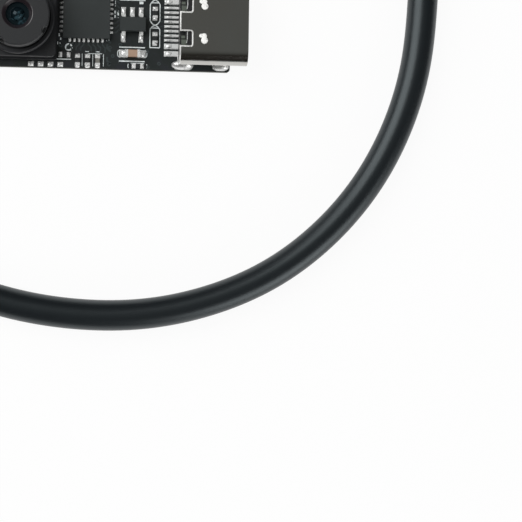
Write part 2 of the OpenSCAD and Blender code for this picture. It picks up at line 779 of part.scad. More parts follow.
module insulator_form() {
    along_x(shell_x0, back_wall_x) cavity_outline();
    block([shell_x0, -base_w / 2, part_z], [shell_x0 + base_l, base_w / 2, socket_z]);
    for (s = [-1, 1]) translate([peg_x, s * peg_y, peg_z]) cylinder(r = peg_r, h = socket_z - peg_z);
    // The tongue with its thicker root.
    block([back_wall_x - eps, -tongue_w / 2, socket_z - tongue_t / 2],
        [tip_x, tongue_w / 2, socket_z + tongue_t / 2]);
    root = [tongue_w / 2 - tongue_root[1], tongue_t / 2 + tongue_root[2]];
    block([back_wall_x - eps, -root[0], socket_z - root[1]],
        [back_wall_x + tongue_root[0], root[0], socket_z + root[1]]);
}

module socket_insulator() color("#1c1d1f") difference() {
    insulator_form();
    socket_contacts();
    socket_mid_plate();
    latch_cuts();
    // Steps in the top that show through the shell's windows.
    for (s = [-1, 1]) translate([shell_x0, s * shell_window_y, socket_z + window_step[1]])
        block([-eps, -shell_window[1] / 2, 0], [window_step[0], shell_window[1] / 2, 1]);
}

// A long drop of solder, widest at its foot.
module solder_drop(size) {
    hull() for (s = [-1, 1]) translate([s * (size[0] - size[1]) / 2, 0, 0]) {
        cylinder(r = size[1] / 2, h = size[2] / 10, $fn = 24);
        cylinder(r = size[1] / 4, h = size[2], $fn = 24);
    }
}

module shell_solder() color("#dfe1df") difference() {
    for (s = [-1, 1], leg = [[rear_leg_x - 0.1, rear_solder], [front_leg_x, front_solder]])
        translate([leg[0], s * (board_w / 2 - edge_strip - leg[1][1] / 2), part_z]) solder_drop(leg[1]);
    along_x(shell_x0, mouth_x) shell_outline();
    shell_legs();
    block([shell_x0 - shell_l, solder_in - leg_y, 0], [mouth_x, leg_y - solder_in, socket_z]);
}

// ---- header and plug -----------------------------------------------------------------------

function pin_y(i) = (i - (wire_n - 1) / 2) * pin_pitch;

module header_housing() color("#e6e2d4") difference() {
    block([board_x0, -header_w / 2, part_z], [header_x, header_w / 2, header_top]);
    block([board_x0 - eps, -plug_w / 2 - plug_gap, header_z - plug_h / 2 - plug_gap],
        [header_x - header_back_wall, plug_w / 2 + plug_gap, header_z + plug_h / 2 + plug_gap]);
    // Slots in the roof that let the plug's ribs in.
    for (s = [-1, 1]) block([board_x0 - eps, s * plug_w / 4 - rib_w / 2 - rib_gap, header_z],
        [rib_x1 + rib_gap, s * plug_w / 4 + rib_w / 2 + rib_gap, header_top + eps]);
    header_pins();
    header_clips();
}

module header_pins() color("#c9a94e") for (i = [0:wire_n - 1]) translate([header_x, pin_y(i), 0]) {
    block([plug_x1 - header_x - pin_l, -pin_w / 2, header_z - pin_w / 2],
        [pin_back, pin_w / 2, header_z + pin_w / 2]);
    block([0, -pin_w / 2, part_z], [pin_back, pin_w / 2, header_z]);
    block([0, -pin_w / 2, part_z], [pin_foot[0], pin_w / 2, part_z + pin_foot[1]]);
}

module header_clips() color("#c4c6c4") for (s = [0, 1]) mirror([0, s, 0])
    translate([header_x - header_l / 2, header_w / 2, part_z]) {
        half = clip_l / 2 - clip_in;
        block([-half, -clip_in, 0], [half, clip_w - 0.1, clip_t]);
        block([-half, -clip_in, 0], [half, 0, clip_h]);
    }

module lead_connector() color("#efece0") difference() {
    union() {
        block([plug_x0, -plug_w / 2, header_z - plug_h / 2], [plug_x1, plug_w / 2, header_z + plug_h / 2]);
        for (s = [-1, 1]) block([plug_x0, s * plug_w / 4 - rib_w / 2, header_z],
            [rib_x1, s * plug_w / 4 + rib_w / 2, header_top - 0.1]);
    }
    half = terminal_w / 2 + terminal_play;
    for (i = [0:wire_n - 1]) block([plug_x0 - eps, pin_y(i) - half, header_z - half],
        [plug_x1 + eps, pin_y(i) + half, header_z + half]);
}

module crimp_terminals() color("#c7c9c6") for (i = [0:wire_n - 1]) difference() {
    block([terminal_x0, pin_y(i) - terminal_w / 2, header_z - terminal_w / 2],
        [terminal_x1, pin_y(i) + terminal_w / 2, header_z + terminal_w / 2]);
    half = pin_w / 2 + terminal_gap;
    block([terminal_x1 - terminal_room, pin_y(i) - half, header_z - half],
        [terminal_x1 + eps, pin_y(i) + half, header_z + half]);
}

// Place of wire i in the square bundle at the sleeve's mouth.
function bundle_place(i) =
    let (side = i < wire_n / 2 ? 1 : -1, up = (i % 3 == 0) ? -1 : 1)
    [-sleeve_dir[1] * side * bundle, sleeve_dir[0] * side * bundle, up * bundle];

// Each wire starts at its terminal and takes a curve to the sleeve's mouth, the outer ones wider.
function wire_path(i) =
    let (a = [plug_x0 - 0.6, pin_y(i), header_z],
        b = sleeve_mouth + bundle_place(i) - sleeve_dir * 0.2,
        reach = wire_reach + wire_widen * pin_y(i))
    concat([[terminal_x0, pin_y(i), header_z]],
        [for (k = [0:wire_steps])
            curve_point(a, [-reach - 0.5, 0, 0], sleeve_dir * (reach - 0.5), b, k / wire_steps)],
        [jacket_start + bundle_place(i)]);

module wire(i) {
    tube(wire_path(i), wire_d / 2, 8);
}

module wire_red() color("#b3262a") wire(0);
module wire_white() color("#e9e9e4") wire(1);
module wire_green() color("#2c8a4a") wire(2);
module wire_black() color("#202124") wire(3);

module shrink_sleeve() color("#18191b") translate(sleeve_mouth) rotate([0, 90, sleeve_turn])
    rotate_extrude($fn = 48) polygon([[bundle_r, 0], [bundle_r + mouth_wall, 0],
        [sleeve_r - 0.25, sleeve_neck - 0.8], [sleeve_r, sleeve_neck + 0.2], [sleeve_r, sleeve_l],
        [lead_r, sleeve_l], [lead_r, sleeve_neck], [bundle_r, sleeve_neck]]);

// ---- lead, coil and tie --------------------------------------------------------------------

module lead_run() color("#202123") tube(run_route, lead_r, 10);
module lead_tail() color("#202123") tube(tail_route, lead_r, 10);

// Half section of the flat turns, raised by lift and thicker all round by grow.
module coil_section(lift, grow) {
    translate([coil_r, lead_r + lift]) stadium(coil_w + 2 * grow, lead_d + 2 * grow);
}

module at_tie() {
    translate([coil_mid[0], coil_mid[1], 0]) rotate([0, 0, tie_angle])
        rotate_extrude(angle = tie_span, $fn = 96) children();
}

module coil_tie() color("#2b2c2f") at_tie() difference() {
    coil_section(tie_t, tie_t);
    coil_section(tie_t, 0);
}

module lead_coil() color("#202123") difference() {
    union() {
        translate([coil_mid[0], coil_mid[1], 0]) rotate_extrude($fn = 96) coil_section(0, 0);
        at_tie() coil_section(tie_t, 0);
        // The straight lead-in, then the part turn on top and its straight lead-out.
        translate([entry[0], entry[1], lead_r]) rotate([-90, 0, 0])
            cylinder(r = lead_r, h = coil_mid[1] - entry[1]);
        translate([coil_mid[0], coil_mid[1], 0]) rotate([0, 0, top_start])
            rotate_extrude(angle = 90 - top_start, $fn = 96) translate([top_r, top_z]) circle(lead_r);
        translate([exit_x, exit_y, over_z]) rotate([0, 90, 0])
            cylinder(r = lead_r, h = coil_mid[0] - exit_x + 1);
    }
    coil_tie();
}

// ---- plug of the lead ----------------------------------------------------------------------

// Draws its child about the plug's middle line.
module on_plug() {
    translate([0, exit_y, plug_axis_z]) children();
}

module plug_relief() color("#242528") on_plug() translate([relief_x, 0, 0]) rotate([0, -90, 0])
    difference() {
        cylinder(r1 = relief_r[0], r2 = relief_r[1], h = relief_l, $fn = 48);
        // Bending slots, in turn from the sides and from above and below.
        for (i = [0:slot_n - 1], s = [-1, 1]) rotate([0, 0, (i % 2) * 90])
            translate([s * slot_place[0], 0, slot_place[1] + i * slot_pitch]) cube(slot_size, center = true);
    }

// The grip's block between two rows of rounded corners.
module grip_form() {
    ends = [[shell_px + 0.8, grip_round[0]], [grip_x0 - 2, grip_round[1]]];
    hull() for (sy = [-1, 1], sz = [-1, 1], e = ends)
        translate([e[0], sy * (grip_size[1] / 2 - e[1]), sz * (grip_size[2] / 2 - e[1])])
            sphere(r = e[1], $fn = 24);
}

module plug_grip() color("#242528") on_plug() difference() {
    grip_form();
    // The grip's two ends are cut flat.
    block([shell_px - relief_l, -grip_size[1], -grip_size[2]], [shell_px, grip_size[1], grip_size[2]]);
    block([grip_x0, -grip_size[1], -grip_size[2]], [relief_x, grip_size[1], grip_size[2]]);
    // Seat of the shell and its tongue.
    block([shell_px - 1, -plug_size[1] / 2, -plug_size[2] / 2],
        [shell_px + plug_depth, plug_size[1] / 2, plug_size[2] / 2]);
    // Finger grooves on the sides.
    for (s = [-1, 1], i = [0:groove_n - 1])
        translate([grip_x0 - 8 - i * groove_pitch, s * (grip_size[1] + 1.1 * groove_r) / 2, -grip_size[2]])
            cylinder(r = groove_r, h = 2 * grip_size[2], $fn = 24);
}

module plug_shell() color("#b9bbb9") on_plug() difference() {
    along_x(plug_tip_x, shell_px + plug_depth) round_rect(plug_size[1], plug_size[2], plug_corner_r);
    along_x(plug_tip_x - eps, shell_px + plug_depth + eps)
        round_rect(plug_in_w, plug_in_h, plug_corner_r / 2);
    // Two latch windows above and two below.
    for (s = [-1, 1]) translate([plug_tip_x + plug_window_place[0], s * plug_window_place[1], 0])
        block([0, -plug_window[1] / 2, -plug_size[2]], [plug_window[0], plug_window[1] / 2, plug_size[2]]);
}

module plug_tongue() color("#e8e8e6") on_plug() difference() {
    half = plug_in_w / 2 - plug_tongue_in[1];
    low = -plug_in_h / 2;
    union() {
        block([plug_tip_x + plug_tongue_in[0], -half, low], [shell_px + 1, half, low + plug_tongue_t]);
        block([shell_px + 1, -half, low], [shell_px + plug_depth, half, plug_in_h / 2]);
    }
    for (y = strip_places) block([plug_tip_x + strip_in, y - strip_w / 2, low + plug_tongue_t - strip_sink],
        [shell_px + 1, y + strip_w / 2, plug_in_h / 2]);
}

module plug_contacts() color("#d8b75e") on_plug() {
    low = plug_tongue_t - plug_in_h / 2 - strip_sink;
    for (y = strip_places)
        block([plug_tip_x + strip_in, y - strip_w / 2, low], [shell_px + 1, y + strip_w / 2, low + strip_t]);
}

// ---- every node by its name ----------------------------------------------------------------

circuit_board();
board_pads();
lens_holder();
lens_barrel();
front_lens();
rear_lens();
lens_retainer();
infrared_filter();
image_sensor();
controller_chip();
controller_leads();
regulator_body();
regulator_leads();
capacitor_bodies();
capacitor_ends();
chip_bodies();
chip_ends();
socket_shell();
socket_insulator();
socket_contacts();
socket_mid_plate();
shell_solder();
header_housing();
header_pins();
header_clips();
lead_connector();
crimp_terminals();
wire_red();
wire_white();
wire_green();
wire_black();
shrink_sleeve();
lead_run();
lead_coil();
lead_tail();
coil_tie();
plug_relief();
plug_grip();
plug_shell();
plug_tongue();
plug_contacts();
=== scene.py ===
# %% [markdown]
# # A narrow camera module and its lead
# The packed model is the frame: every solid is at its real size and place. This lesson adds a
# smooth lead, printed lines, solder, copper under the mask, and a finish for every surface.
# Lengths are in metres, and MM turns millimetres into them.

# %%
import bpy
import math
import numpy as np
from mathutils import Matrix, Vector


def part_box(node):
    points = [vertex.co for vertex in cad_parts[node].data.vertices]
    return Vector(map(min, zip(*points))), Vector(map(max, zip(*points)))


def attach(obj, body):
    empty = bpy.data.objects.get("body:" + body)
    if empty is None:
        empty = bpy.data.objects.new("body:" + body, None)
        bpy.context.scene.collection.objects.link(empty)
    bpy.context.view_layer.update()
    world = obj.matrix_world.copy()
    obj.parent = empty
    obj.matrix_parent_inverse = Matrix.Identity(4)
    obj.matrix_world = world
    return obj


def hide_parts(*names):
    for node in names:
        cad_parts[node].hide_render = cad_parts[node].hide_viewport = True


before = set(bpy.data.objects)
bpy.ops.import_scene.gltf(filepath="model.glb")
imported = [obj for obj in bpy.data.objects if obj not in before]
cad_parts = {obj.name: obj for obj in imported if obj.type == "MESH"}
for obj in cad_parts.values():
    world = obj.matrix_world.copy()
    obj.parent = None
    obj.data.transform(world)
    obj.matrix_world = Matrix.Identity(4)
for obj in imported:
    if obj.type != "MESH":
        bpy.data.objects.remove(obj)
SCENE = bpy.context.scene
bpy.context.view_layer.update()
MM = 0.001
BODY = "root"


def box(node):
    """Lowest and highest corner of a CAD node, as arrays."""
    low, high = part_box(node)
    return np.array(low), np.array(high)


def middle(node):
    """Middle of a CAD node's box."""
    low, high = box(node)
    return (low + high) / 2


# %% [markdown]
# ## The camera
# The module is seen from nearly straight above. A constraint could aim the camera, but three
# angles are as short. It stands over the lens and leans a little, as the tall lens head shows.

# %%
camera_data = bpy.data.cameras.new("camera")
camera_data.sensor_width = 36
camera_data.lens = 125.15
camera_data.clip_start = 0.01
camera_data.clip_end = 20
camera = bpy.data.objects.new("camera", camera_data)
camera.location = (-5.163 * MM, -24.982 * MM, 197 * MM)
camera.rotation_euler = (-0.0042, -0.1296, 0.0137)
SCENE.collection.objects.link(camera)
SCENE.camera = camera
print("camera height", round(camera.location.z, 3), "m")

# %% [markdown]
# ## Sweeping an outline along a path
# A cord, a wire, a printed line and a copper track are all a flat outline carried along a path.
# Curves with a bevel could make them, but arrays have a known order, from which the jacket gets
# its map. At a corner the outline is widened, so that a line keeps its width.


# %%
def unit(v):
    """Each row of v divided by its length."""
    return v / np.maximum(np.linalg.norm(v, axis=-1, keepdims=True), 1e-12)


def around(sides):
    """The angles of that many places round a circle."""
    return np.arange(sides) * 2 * math.pi / sides


def quads(rows, columns, close_rows=False, close_columns=True):
    """Faces of a grid: each place, the next column, the next column and row, the next row.

    A closed direction goes on from its last place to its first.
    """
    i, k = np.meshgrid(np.arange(rows if close_rows else rows - 1),
                       np.arange(columns if close_columns else columns - 1), indexing="ij")
    i2, k2 = (i + 1) % rows, (k + 1) % columns
    corners = [i * columns + k, i * columns + k2, i2 * columns + k2, i2 * columns + k]
    return np.stack(corners, -1).reshape(-1, 4)


def sweep(path, profile, closed=False):
    """Vertices and faces of a profile carried along a path.

    Vertex = path point + side * profile x + up * profile y, where side is the mean of the
    sideways directions of the two segments that meet there, over the cosine of half their turn.
    """
    path, profile = np.asarray(path, float), np.asarray(profile, float)
    n, m = len(path), len(profile)
    step = unit(np.roll(path, -1, 0) - path if closed else np.diff(path, axis=0))
    before = np.roll(step, 1, 0) if closed else np.vstack([step[:1], step])
    after = step if closed else np.vstack([step, step[-1:]])
    along = unit(before + after)
    side = unit(np.cross(along, (0.0, 0.0, 1.0)))
    up = np.cross(side, along)
    widen = 1 / np.clip(np.einsum("ij,ij->i", along, after), 0.5, 1)
    verts = (path[:, None] + side[:, None] * (profile[None, :, :1] * widen[:, None, None])
             + up[:, None] * profile[None, :, 1:2]).reshape(-1, 3)
    faces = quads(n, m, close_rows=closed)[:, [0, 3, 2, 1]].tolist()
    if not closed:
        faces += [list(range(m)), list(range(n * m - 1, (n - 1) * m - 1, -1))]
    return verts, faces


def circle_profile(radius, sides):
    """A round outline, counted so that the sweep's faces point outwards."""
    turn = around(sides)
    return np.stack([radius * np.cos(turn), radius * np.sin(turn)], -1)


def strip_profile(width, height):
    """A flat strip's outline, standing on the path, with its top a fifth narrower."""
    return [(-width / 2, 0), (width / 2, 0), (0.4 * width, height), (-0.4 * width, height)]


print("a square tube of three steps has", len(quads(4, 4)), "side faces")

# %% [markdown]
# ## Many small shapes in one mesh
# Solder and print are hundreds of small shapes with one finish. Objects could be as many, but
# one mesh is lighter and has one name, so a piece is made from a list of shapes.


# %%
def new_object(name, verts, faces):
    """A mesh object at the origin, linked to the scene."""
    mesh = bpy.data.meshes.new(name)
    mesh.from_pydata(verts, [], faces)
    obj = bpy.data.objects.new(name, mesh)
    SCENE.collection.objects.link(obj)
    return obj


def make_piece(name, shapes, smooth=True, replaces=()):
    """Joins shapes into one object, rides it on the one body and hides the solids it replaces."""
    starts = np.cumsum([0] + [len(verts) for verts, _ in shapes]).tolist()
    faces = [[place + start for place in face] for start, (_, some) in zip(starts, shapes) for face in some]
    obj = new_object(name, np.vstack([verts for verts, _ in shapes]).tolist(), faces)
    obj.data.polygons.foreach_set("use_smooth", [smooth] * len(faces))
    obj.data.update()
    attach(obj, BODY)
    if replaces:
        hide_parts(*replaces)
    print(name, len(faces), "faces")
    return obj


print("pieces ride on", BODY)

# %% [markdown]
# ## The lead
# Half a metre of round cord leaves a shrink sleeve, runs round the module and is put away in a
# flat coil. A simulation would lay it differently each time, so its route is places and a formula.

# %%
LEAD_D = 3.3 * MM
LEAD_R = LEAD_D / 2
SLEEVE_MOUTH = np.array([-28.2, -5.5, 2.0]) * MM
SLEEVE_TURN = math.radians(-75)
SLEEVE_DIR = np.array([math.cos(SLEEVE_TURN), math.sin(SLEEVE_TURN), 0])
SLEEVE_NECK, SLEEVE_L = 3 * MM, 8 * MM
COIL_MID = np.array([17.2, 28.5]) * MM
COIL_R = 17.5 * MM
TIE_TURN = math.radians(221.5)
TIE_T = 0.4 * MM

ground_places = [(-24.4, -18.0), (-20.8, -22.6), (-16.4, -26.2), (-11.6, -28.7), (-6.6, -30.3), (0.5, -31.4),
                 (7.7, -31.3), (14.7, -29.8), (21.3, -26.9), (27.0, -22.6), (31.7, -17.1), (35.1, -10.7),
                 (37.1, -3.8), (37.8, 3.3), (38.0, 9.0), (38.0, 14.0), (38.0, 15.0), (38.0, 22.0)]
ground_heights = [1.85, 1.7] + [1.65] * 16
ground_route = np.column_stack([ground_places, ground_heights]) * MM


def ease(x):
    """A smooth step from 0 to 1: three x squared less two x cubed."""
    x = np.clip(x, 0, 1)
    return x * x * (3 - 2 * x)


def coil_points(first=6, last=1164, every=12):
    """The coil, by its turn angle in degrees.

    Radius starts one diameter outside the middle turn and steps in by one diameter near the
    end of each turn. The last quarter turn rises over the others and lies between the outer two.
    """
    a = np.arange(first, last + 1, every, dtype=float)
    radius = COIL_R + LEAD_D * (1 - ease((a - 300) / 60) - ease((a - 660) / 60))
    radius += 1.5 * LEAD_D * ease((a - 985) / 110)
    height = LEAD_R + LEAD_D * 1.02 * ease((a - 940) / 80) - 0.12 * LEAD_D * ease((a - 1060) / 60)
    height += 0.1 * LEAD_D * ease((a - 1130) / 40)
    turn = np.radians(a)
    off_tie = np.abs((turn - TIE_TURN + math.pi) % (2 * math.pi) - math.pi)
    height += TIE_T * ease(1.6 - off_tie / math.radians(16))
    return np.stack([COIL_MID[0] + radius * np.cos(turn), COIL_MID[1] + radius * np.sin(turn), height], -1)


exit_y = (COIL_MID[1] + COIL_R + LEAD_R) / MM
tail_places = ((12.0, 4.85), (7.0, 4.98), (1.5, 4.95), (-1.4, 4.6), (-3.6, 4.1), (-5.4, 3.9), (-6.0, 3.9))
tail_route = np.array([(x, exit_y, z) for x, z in tail_places]) * MM
sleeve_route = SLEEVE_MOUTH + SLEEVE_DIR * np.array([[SLEEVE_NECK], [SLEEVE_L], [SLEEVE_L + MM]])
route = np.vstack([sleeve_route, ground_route, coil_points(), tail_route])
print("the route has", len(route), "places")

# %% [markdown]
# Straight lines between the places would show as corners. A Bezier curve needs handles, while a
# cubic spline through all places has an even bend by itself.


# %%
PATH_STEP = 0.8 * MM


def smooth_path(points, spacing):
    """One cubic curve through all points, sampled at an even spacing.

    The second derivatives at the points solve the usual three-term system, with none at the
    two ends; between two points the curve is the cubic that those derivatives give.
    """
    s = np.concatenate([[0], np.cumsum(np.linalg.norm(np.diff(points, axis=0), axis=1))])
    h = np.diff(s)
    n = len(points)
    system, right = np.eye(n), np.zeros((n, 3))
    inner = np.arange(1, n - 1)
    system[inner, inner - 1] = h[:-1]
    system[inner, inner] = 2 * (h[:-1] + h[1:])
    system[inner, inner + 1] = h[1:]
    slope = np.diff(points, axis=0) / h[:, None]
    right[1:-1] = 6 * np.diff(slope, axis=0)
    bend = np.linalg.solve(system, right)
    at = np.linspace(0, s[-1], int(s[-1] / spacing) + 1)
    k = np.clip(np.searchsorted(s, at, side="right") - 1, 0, n - 2)
    u, w, hk = (s[k + 1] - at)[:, None], (at - s[k])[:, None], h[k][:, None]
    curved = bend[k] * u**3 / (6 * hk) + bend[k + 1] * w**3 / (6 * hk)
    straight = (points[k] / hk - bend[k] * hk / 6) * u + (points[k + 1] / hk - bend[k + 1] * hk / 6) * w
    return curved + straight


lead_path = smooth_path(route, PATH_STEP)

# %% [markdown]
# ## The jacket
# A die leaves fine lines along the jacket. An unwrap would stretch over half a metre, so the UV
# map is written: the distance along and the way round.


# %%
LEAD_SIDES = 28


def add_tube_uv(obj, path, sides, radius):
    """Writes (distance along, way round) in metres at each face corner of a swept tube."""
    along = np.concatenate([[0], np.cumsum(np.linalg.norm(np.diff(path, axis=0), axis=1))])
    i, k = np.meshgrid(np.arange(len(path) - 1), np.arange(sides), indexing="ij")
    i, k = i[..., None] + [0, 1, 1, 0], k[..., None] + [0, 0, 1, 1]
    caps = np.repeat([0, len(path) - 1], sides)
    i, k = np.append(i, caps), np.append(k, np.concatenate([np.arange(sides), np.arange(sides, 0, -1)]))
    uv = np.stack([along[i], k * 2 * math.pi * radius / sides], -1)
    obj.data.uv_layers.new(name="UVMap").data.foreach_set("uv", uv.ravel().astype(np.float32))


tube = sweep(lead_path, circle_profile(LEAD_R, LEAD_SIDES))
lead = make_piece("lead_jacket", [tube], replaces=("lead_run", "lead_coil", "lead_tail"))
add_tube_uv(lead, lead_path, LEAD_SIDES, LEAD_R)

# %% [markdown]
# ## The four wires
# Between the sleeve and the connector four thin wires fan out. Only their two ends and their
# directions are known, so each follows one cubic Bezier curve.

# %%
WIRE_R, WIRE_SIDES = 0.45 * MM, 16
PIN_PITCH = 1.25 * MM
BUNDLE = 0.55 * MM
CONNECTOR_X = box("lead_connector")[0][0]
TERMINAL_X, PIN_Z = box("crimp_terminals")[0][0], middle("crimp_terminals")[2]


def wire_path(i):
    """A straight end in the connector, then the cubic curve that leaves it along -X and reaches
    the sleeve along its axis. Outer wires take the wider way round."""
    y = (i - 1.5) * PIN_PITCH
    side, rise = (1 if i < 2 else -1), (-1 if i % 3 == 0 else 1)
    place = np.array([-SLEEVE_DIR[1] * side, SLEEVE_DIR[0] * side, rise]) * BUNDLE
    a = np.array([CONNECTOR_X - 0.6 * MM, y, PIN_Z])
    b = SLEEVE_MOUTH + place - SLEEVE_DIR * 0.2 * MM
    wide = 0.9 * y
    c = a + np.array([-4 * MM - wide, 0, 0])
    d = b - SLEEVE_DIR * (3 * MM + wide)
    t = np.linspace(0, 1, 40)[:, None]
    curve = (1 - t) ** 3 * a + 3 * (1 - t) ** 2 * t * c + 3 * (1 - t) * t**2 * d + t**3 * b
    start = np.array([[TERMINAL_X, y, PIN_Z]])
    end = (SLEEVE_MOUTH + SLEEVE_DIR * SLEEVE_NECK + place)[None]
    return np.vstack([start, curve, end])


for number, colour in enumerate(("red", "white", "green", "black")):
    tube = sweep(wire_path(number), circle_profile(WIRE_R, WIRE_SIDES))
    name = "wire_" + colour
    make_piece(name + "_skin", [tube], replaces=(name,))

# %% [markdown]
# ## Places on the board
# Print and solder lie in millimetres back from the board's socket end and out from its centre
# line. World places would be shorter, but these stay right if the board's length is changed.

# %%
BOARD_END, TOP = box("circuit_board")[1][[0, 2]]
COLUMN_X, COLUMN_MID, COLUMN_PITCH = -8.18, -0.15, 2.72
CAPACITOR_X, CAPACITOR_Y = -10.59, 3.3
CONTROLLER_X, CONTROLLER_Y = -15.57, 0.68
ROW_X, ROW_PITCH = -15.4, 1.07
CONTACT_PITCH = 0.5
INK_H, TRACK_H = 0.018 * MM, 0.022 * MM


def on_board(points):
    """Flat places as points on the board's top."""
    p = np.asarray(points, float)
    return np.column_stack([BOARD_END + p[:, 0] * MM, p[:, 1] * MM, np.full(len(p), TOP)])


def arc(x, y, radius, start, end, count=14):
    """Points on an arc between two angles in degrees."""
    turn = np.radians(np.linspace(start, end, count))
    return np.column_stack([x + radius * np.cos(turn), y + radius * np.sin(turn)])


def board_line(points, width, height, closed=False):
    """A flat line on the board's top, its width in millimetres."""
    return sweep(on_board(points), strip_profile(width * MM, height), closed)


print("the board's top is", round(TOP / MM, 2), "mm above the table")

# %% [markdown]
# ## Printed lines
# White ink is screened on in thin lines. A mask in the board's shader would blur, so each line
# is a strip 0.018 mm high. Plain strokes stand in for letters.

# %%
ink = []


def print_line(points, width=0.105, closed=False):
    """Adds one line of ink."""
    ink.append(board_line(points, width, INK_H, closed))


FRAME_HALF, FRAME_GAP = 0.53, 0.47
CROSS_X, CROSS_Y = 0.3, 0.15
cross = ((-FRAME_HALF, FRAME_GAP), (-CROSS_X, CROSS_Y), (CROSS_X, -CROSS_Y), (FRAME_HALF, -FRAME_GAP))
crossings = [COLUMN_MID, COLUMN_MID + COLUMN_PITCH]
frame_ends = [COLUMN_MID - 2.42] + [c + s * FRAME_GAP for c in crossings for s in (-1, 1)] + [4.78]
for side in (-1, 1):
    for low, high in zip(frame_ends[::2], frame_ends[1::2]):
        print_line([(COLUMN_X + side * FRAME_HALF, low), (COLUMN_X + side * FRAME_HALF, high)])
    for c in crossings:
        print_line([(COLUMN_X + side * x, c + y) for x, y in cross])
caps = [(y, FRAME_HALF) for y in (frame_ends[0], frame_ends[-1])] + [(c - CROSS_X, 0.36) for c in crossings]
for y, reach in caps:
    print_line([(COLUMN_X - reach, y), (COLUMN_X + reach, y)])
for side in (-1, 1):
    for out in (-0.75, 0.75):
        y = side * CAPACITOR_Y + out - 0.06
        print_line([(CAPACITOR_X - 1.42, y), (CAPACITOR_X + 1.35, y)], 0.13)
    for x, start in ((-1.0, 145), (0.98, -35)):
        print_line(arc(CAPACITOR_X + x, side * CAPACITOR_Y, 0.6, start, start + 70), 0.07)
for x in (-0.53, 0.53, 1.6):
    print_line([(ROW_X + x * ROW_PITCH, -3.42), (ROW_X + x * ROW_PITCH, -4.75)], 0.06)

# Loose strokes: x and y of each end, width.
STROKES = ((-10.76, -4.3, -9.3, -4.3, 0.08), (-18.7, -4.07, -17.15, -4.07, 0.11),
           (-15.65, -3.18, -15.25, -3.2, 0.1), (-14.53, -3.18, -14.13, -3.2, 0.1),
           (-15.35, -3.39, -13.85, -3.39, 0.06), (-12.5, 0.52, -12.5, 0.84, 0.16),
           (-12.5, 0.94, -12.5, 1.3, 0.16), (-12.17, 0.52, -12.17, 1.3, 0.16),
           (-12.47, 1.75, -12.47, 2.6, 0.07), (-9.67, 2.08, -9.67, 2.36, 0.42),
           (-18.45, -1.3, -18.45, -1.62, 0.14), (-18.3, -1.75, -18.3, -2.0, 0.14),
           (-18.62, -2.2, -18.62, -2.5, 0.12), (-18.35, -2.3, -18.35, -2.52, 0.1),
           (-13.42, -1.95, -13.08, -1.9, 0.13), (-24.9, 4.66, -24.9, 4.9, 0.2))
for x0, y0, x1, y1, width in STROKES:
    print_line([(x0, y0), (x1, y1)], width)
# Arcs and rings: x, y, radius, first and last angle, points, width, closed or not.
ARCS = ((-10.6, -4.62, 0.46, 150, 210, 8, 0.07, False), (-9.44, -4.62, 0.46, -30, 30, 8, 0.07, False),
        (-17.42, -2.76, 0.33, 0, 345, 24, 0.17, True), (-30.6, 4.62, 0.16, 0, 330, 14, 0.1, True))
for *shape, width, ring in ARCS:
    print_line(arc(*shape), width, ring)
make_piece("printed_lines", ink, smooth=False)

# %% [markdown]
# ## Copper under the mask
# The mask follows the copper, so tracks show as faint ridges. Strips catch the lamps along
# their sides, which a bump would not do from low down. Each bends by 45 degrees towards a via.

# %%
tracks = []
for i in range(8):
    step = (i - 3.5) * CONTACT_PITCH
    x, y = CONTROLLER_X + step, CONTROLLER_Y + step
    bend = 0.3 if i > 3 else -0.3
    tracks.append(([(x, -2.2), (x, -2.45), (x + bend, -2.75), (x + bend, -3.0 - 0.04 * i)], 0.15))
    tracks.append(([(-12.65, y), (-12.4, y), (-12.1, y - bend), (-11.98, y - bend)], 0.14))
for i in range(-3, 4):
    y = (i + 0.5) * CONTACT_PITCH
    tracks.append(([(-7.3, y), (-7.5, y), (-7.62, y - 0.08)], 0.14))
for y in (-2.2, -3.1, -4.45):
    tracks.append(([(-12.9, y), (-13.3, y + 0.3), (-13.3, y + 0.75)], 0.22))
VIAS = ((-13.0, -2.7), (-12.7, -3.6), (-13.1, -4.5), (-16.9, -2.4), (-9.0, -3.0), (-7.7, -4.3),
        (-11.9, -2.35), (-18.3, -2.6), (-12.5, 3.4), (-17.9, 4.3), (-14.6, 4.2), (-8.9, -4.7),
        (-26.3, -4.6), (-27.6, 4.6))
copper = [board_line(points, width, TRACK_H) for points, width in tracks]
copper += [board_line(arc(x, y, 0.14, 0, 330, 12), 0.13, TRACK_H, closed=True) for x, y in VIAS]
make_piece("tracks_under_mask", copper, smooth=False)

# %% [markdown]
# ## Solder
# Surface tension pulls solder into a drop that leans against its metal. Squashed spheres would
# overhang their pads, so rings of a rounded outline shrink with height and shift to the part.


# %%
PAD = 0.05


def dome_faces(rings, sides):
    """Faces between rings of points, and a fan from the last ring to one point at the top."""
    last = (rings - 1) * sides
    fan = [[last + j, last + (j + 1) % sides, last + sides] for j in range(sides)]
    return quads(rings, sides).tolist() + fan


def dome(place, size, lean=(0.0, 0.0), square=4.0, rings=6, sides=24):
    """A closed drop with its foot at the place, in millimetres and with z up from the board's top.

    Outline: |x|^p + |y|^p = 1, scaled to the size. At height share t it is scaled by the
    square root of 1 - t squared, and moved by lean times t.
    """
    t = np.linspace(0, 1, rings + 1)[:-1, None]
    turn = around(sides)
    across, ahead = (np.sign(f) * np.abs(f) ** (2 / square) for f in (np.cos(turn), np.sin(turn)))
    shrink = np.sqrt(1 - t * t)
    verts = np.stack([across * size[0] / 2 * shrink + lean[0] * t, ahead * size[1] / 2 * shrink + lean[1] * t,
                      size[2] * t + 0 * turn], -1).reshape(-1, 3)
    verts = np.vstack([verts, [[lean[0], lean[1], size[2]]]])
    faces = dome_faces(rings, sides) + [list(range(sides - 1, -1, -1))]
    return (verts + place) * MM + [BOARD_END, 0, TOP], faces


def joint(x, y, size, lean=(0.0, 0.0), square=4.0):
    """Adds one joint that stands on a pad."""
    solder.append(dome((x, y, PAD), size, lean, square))


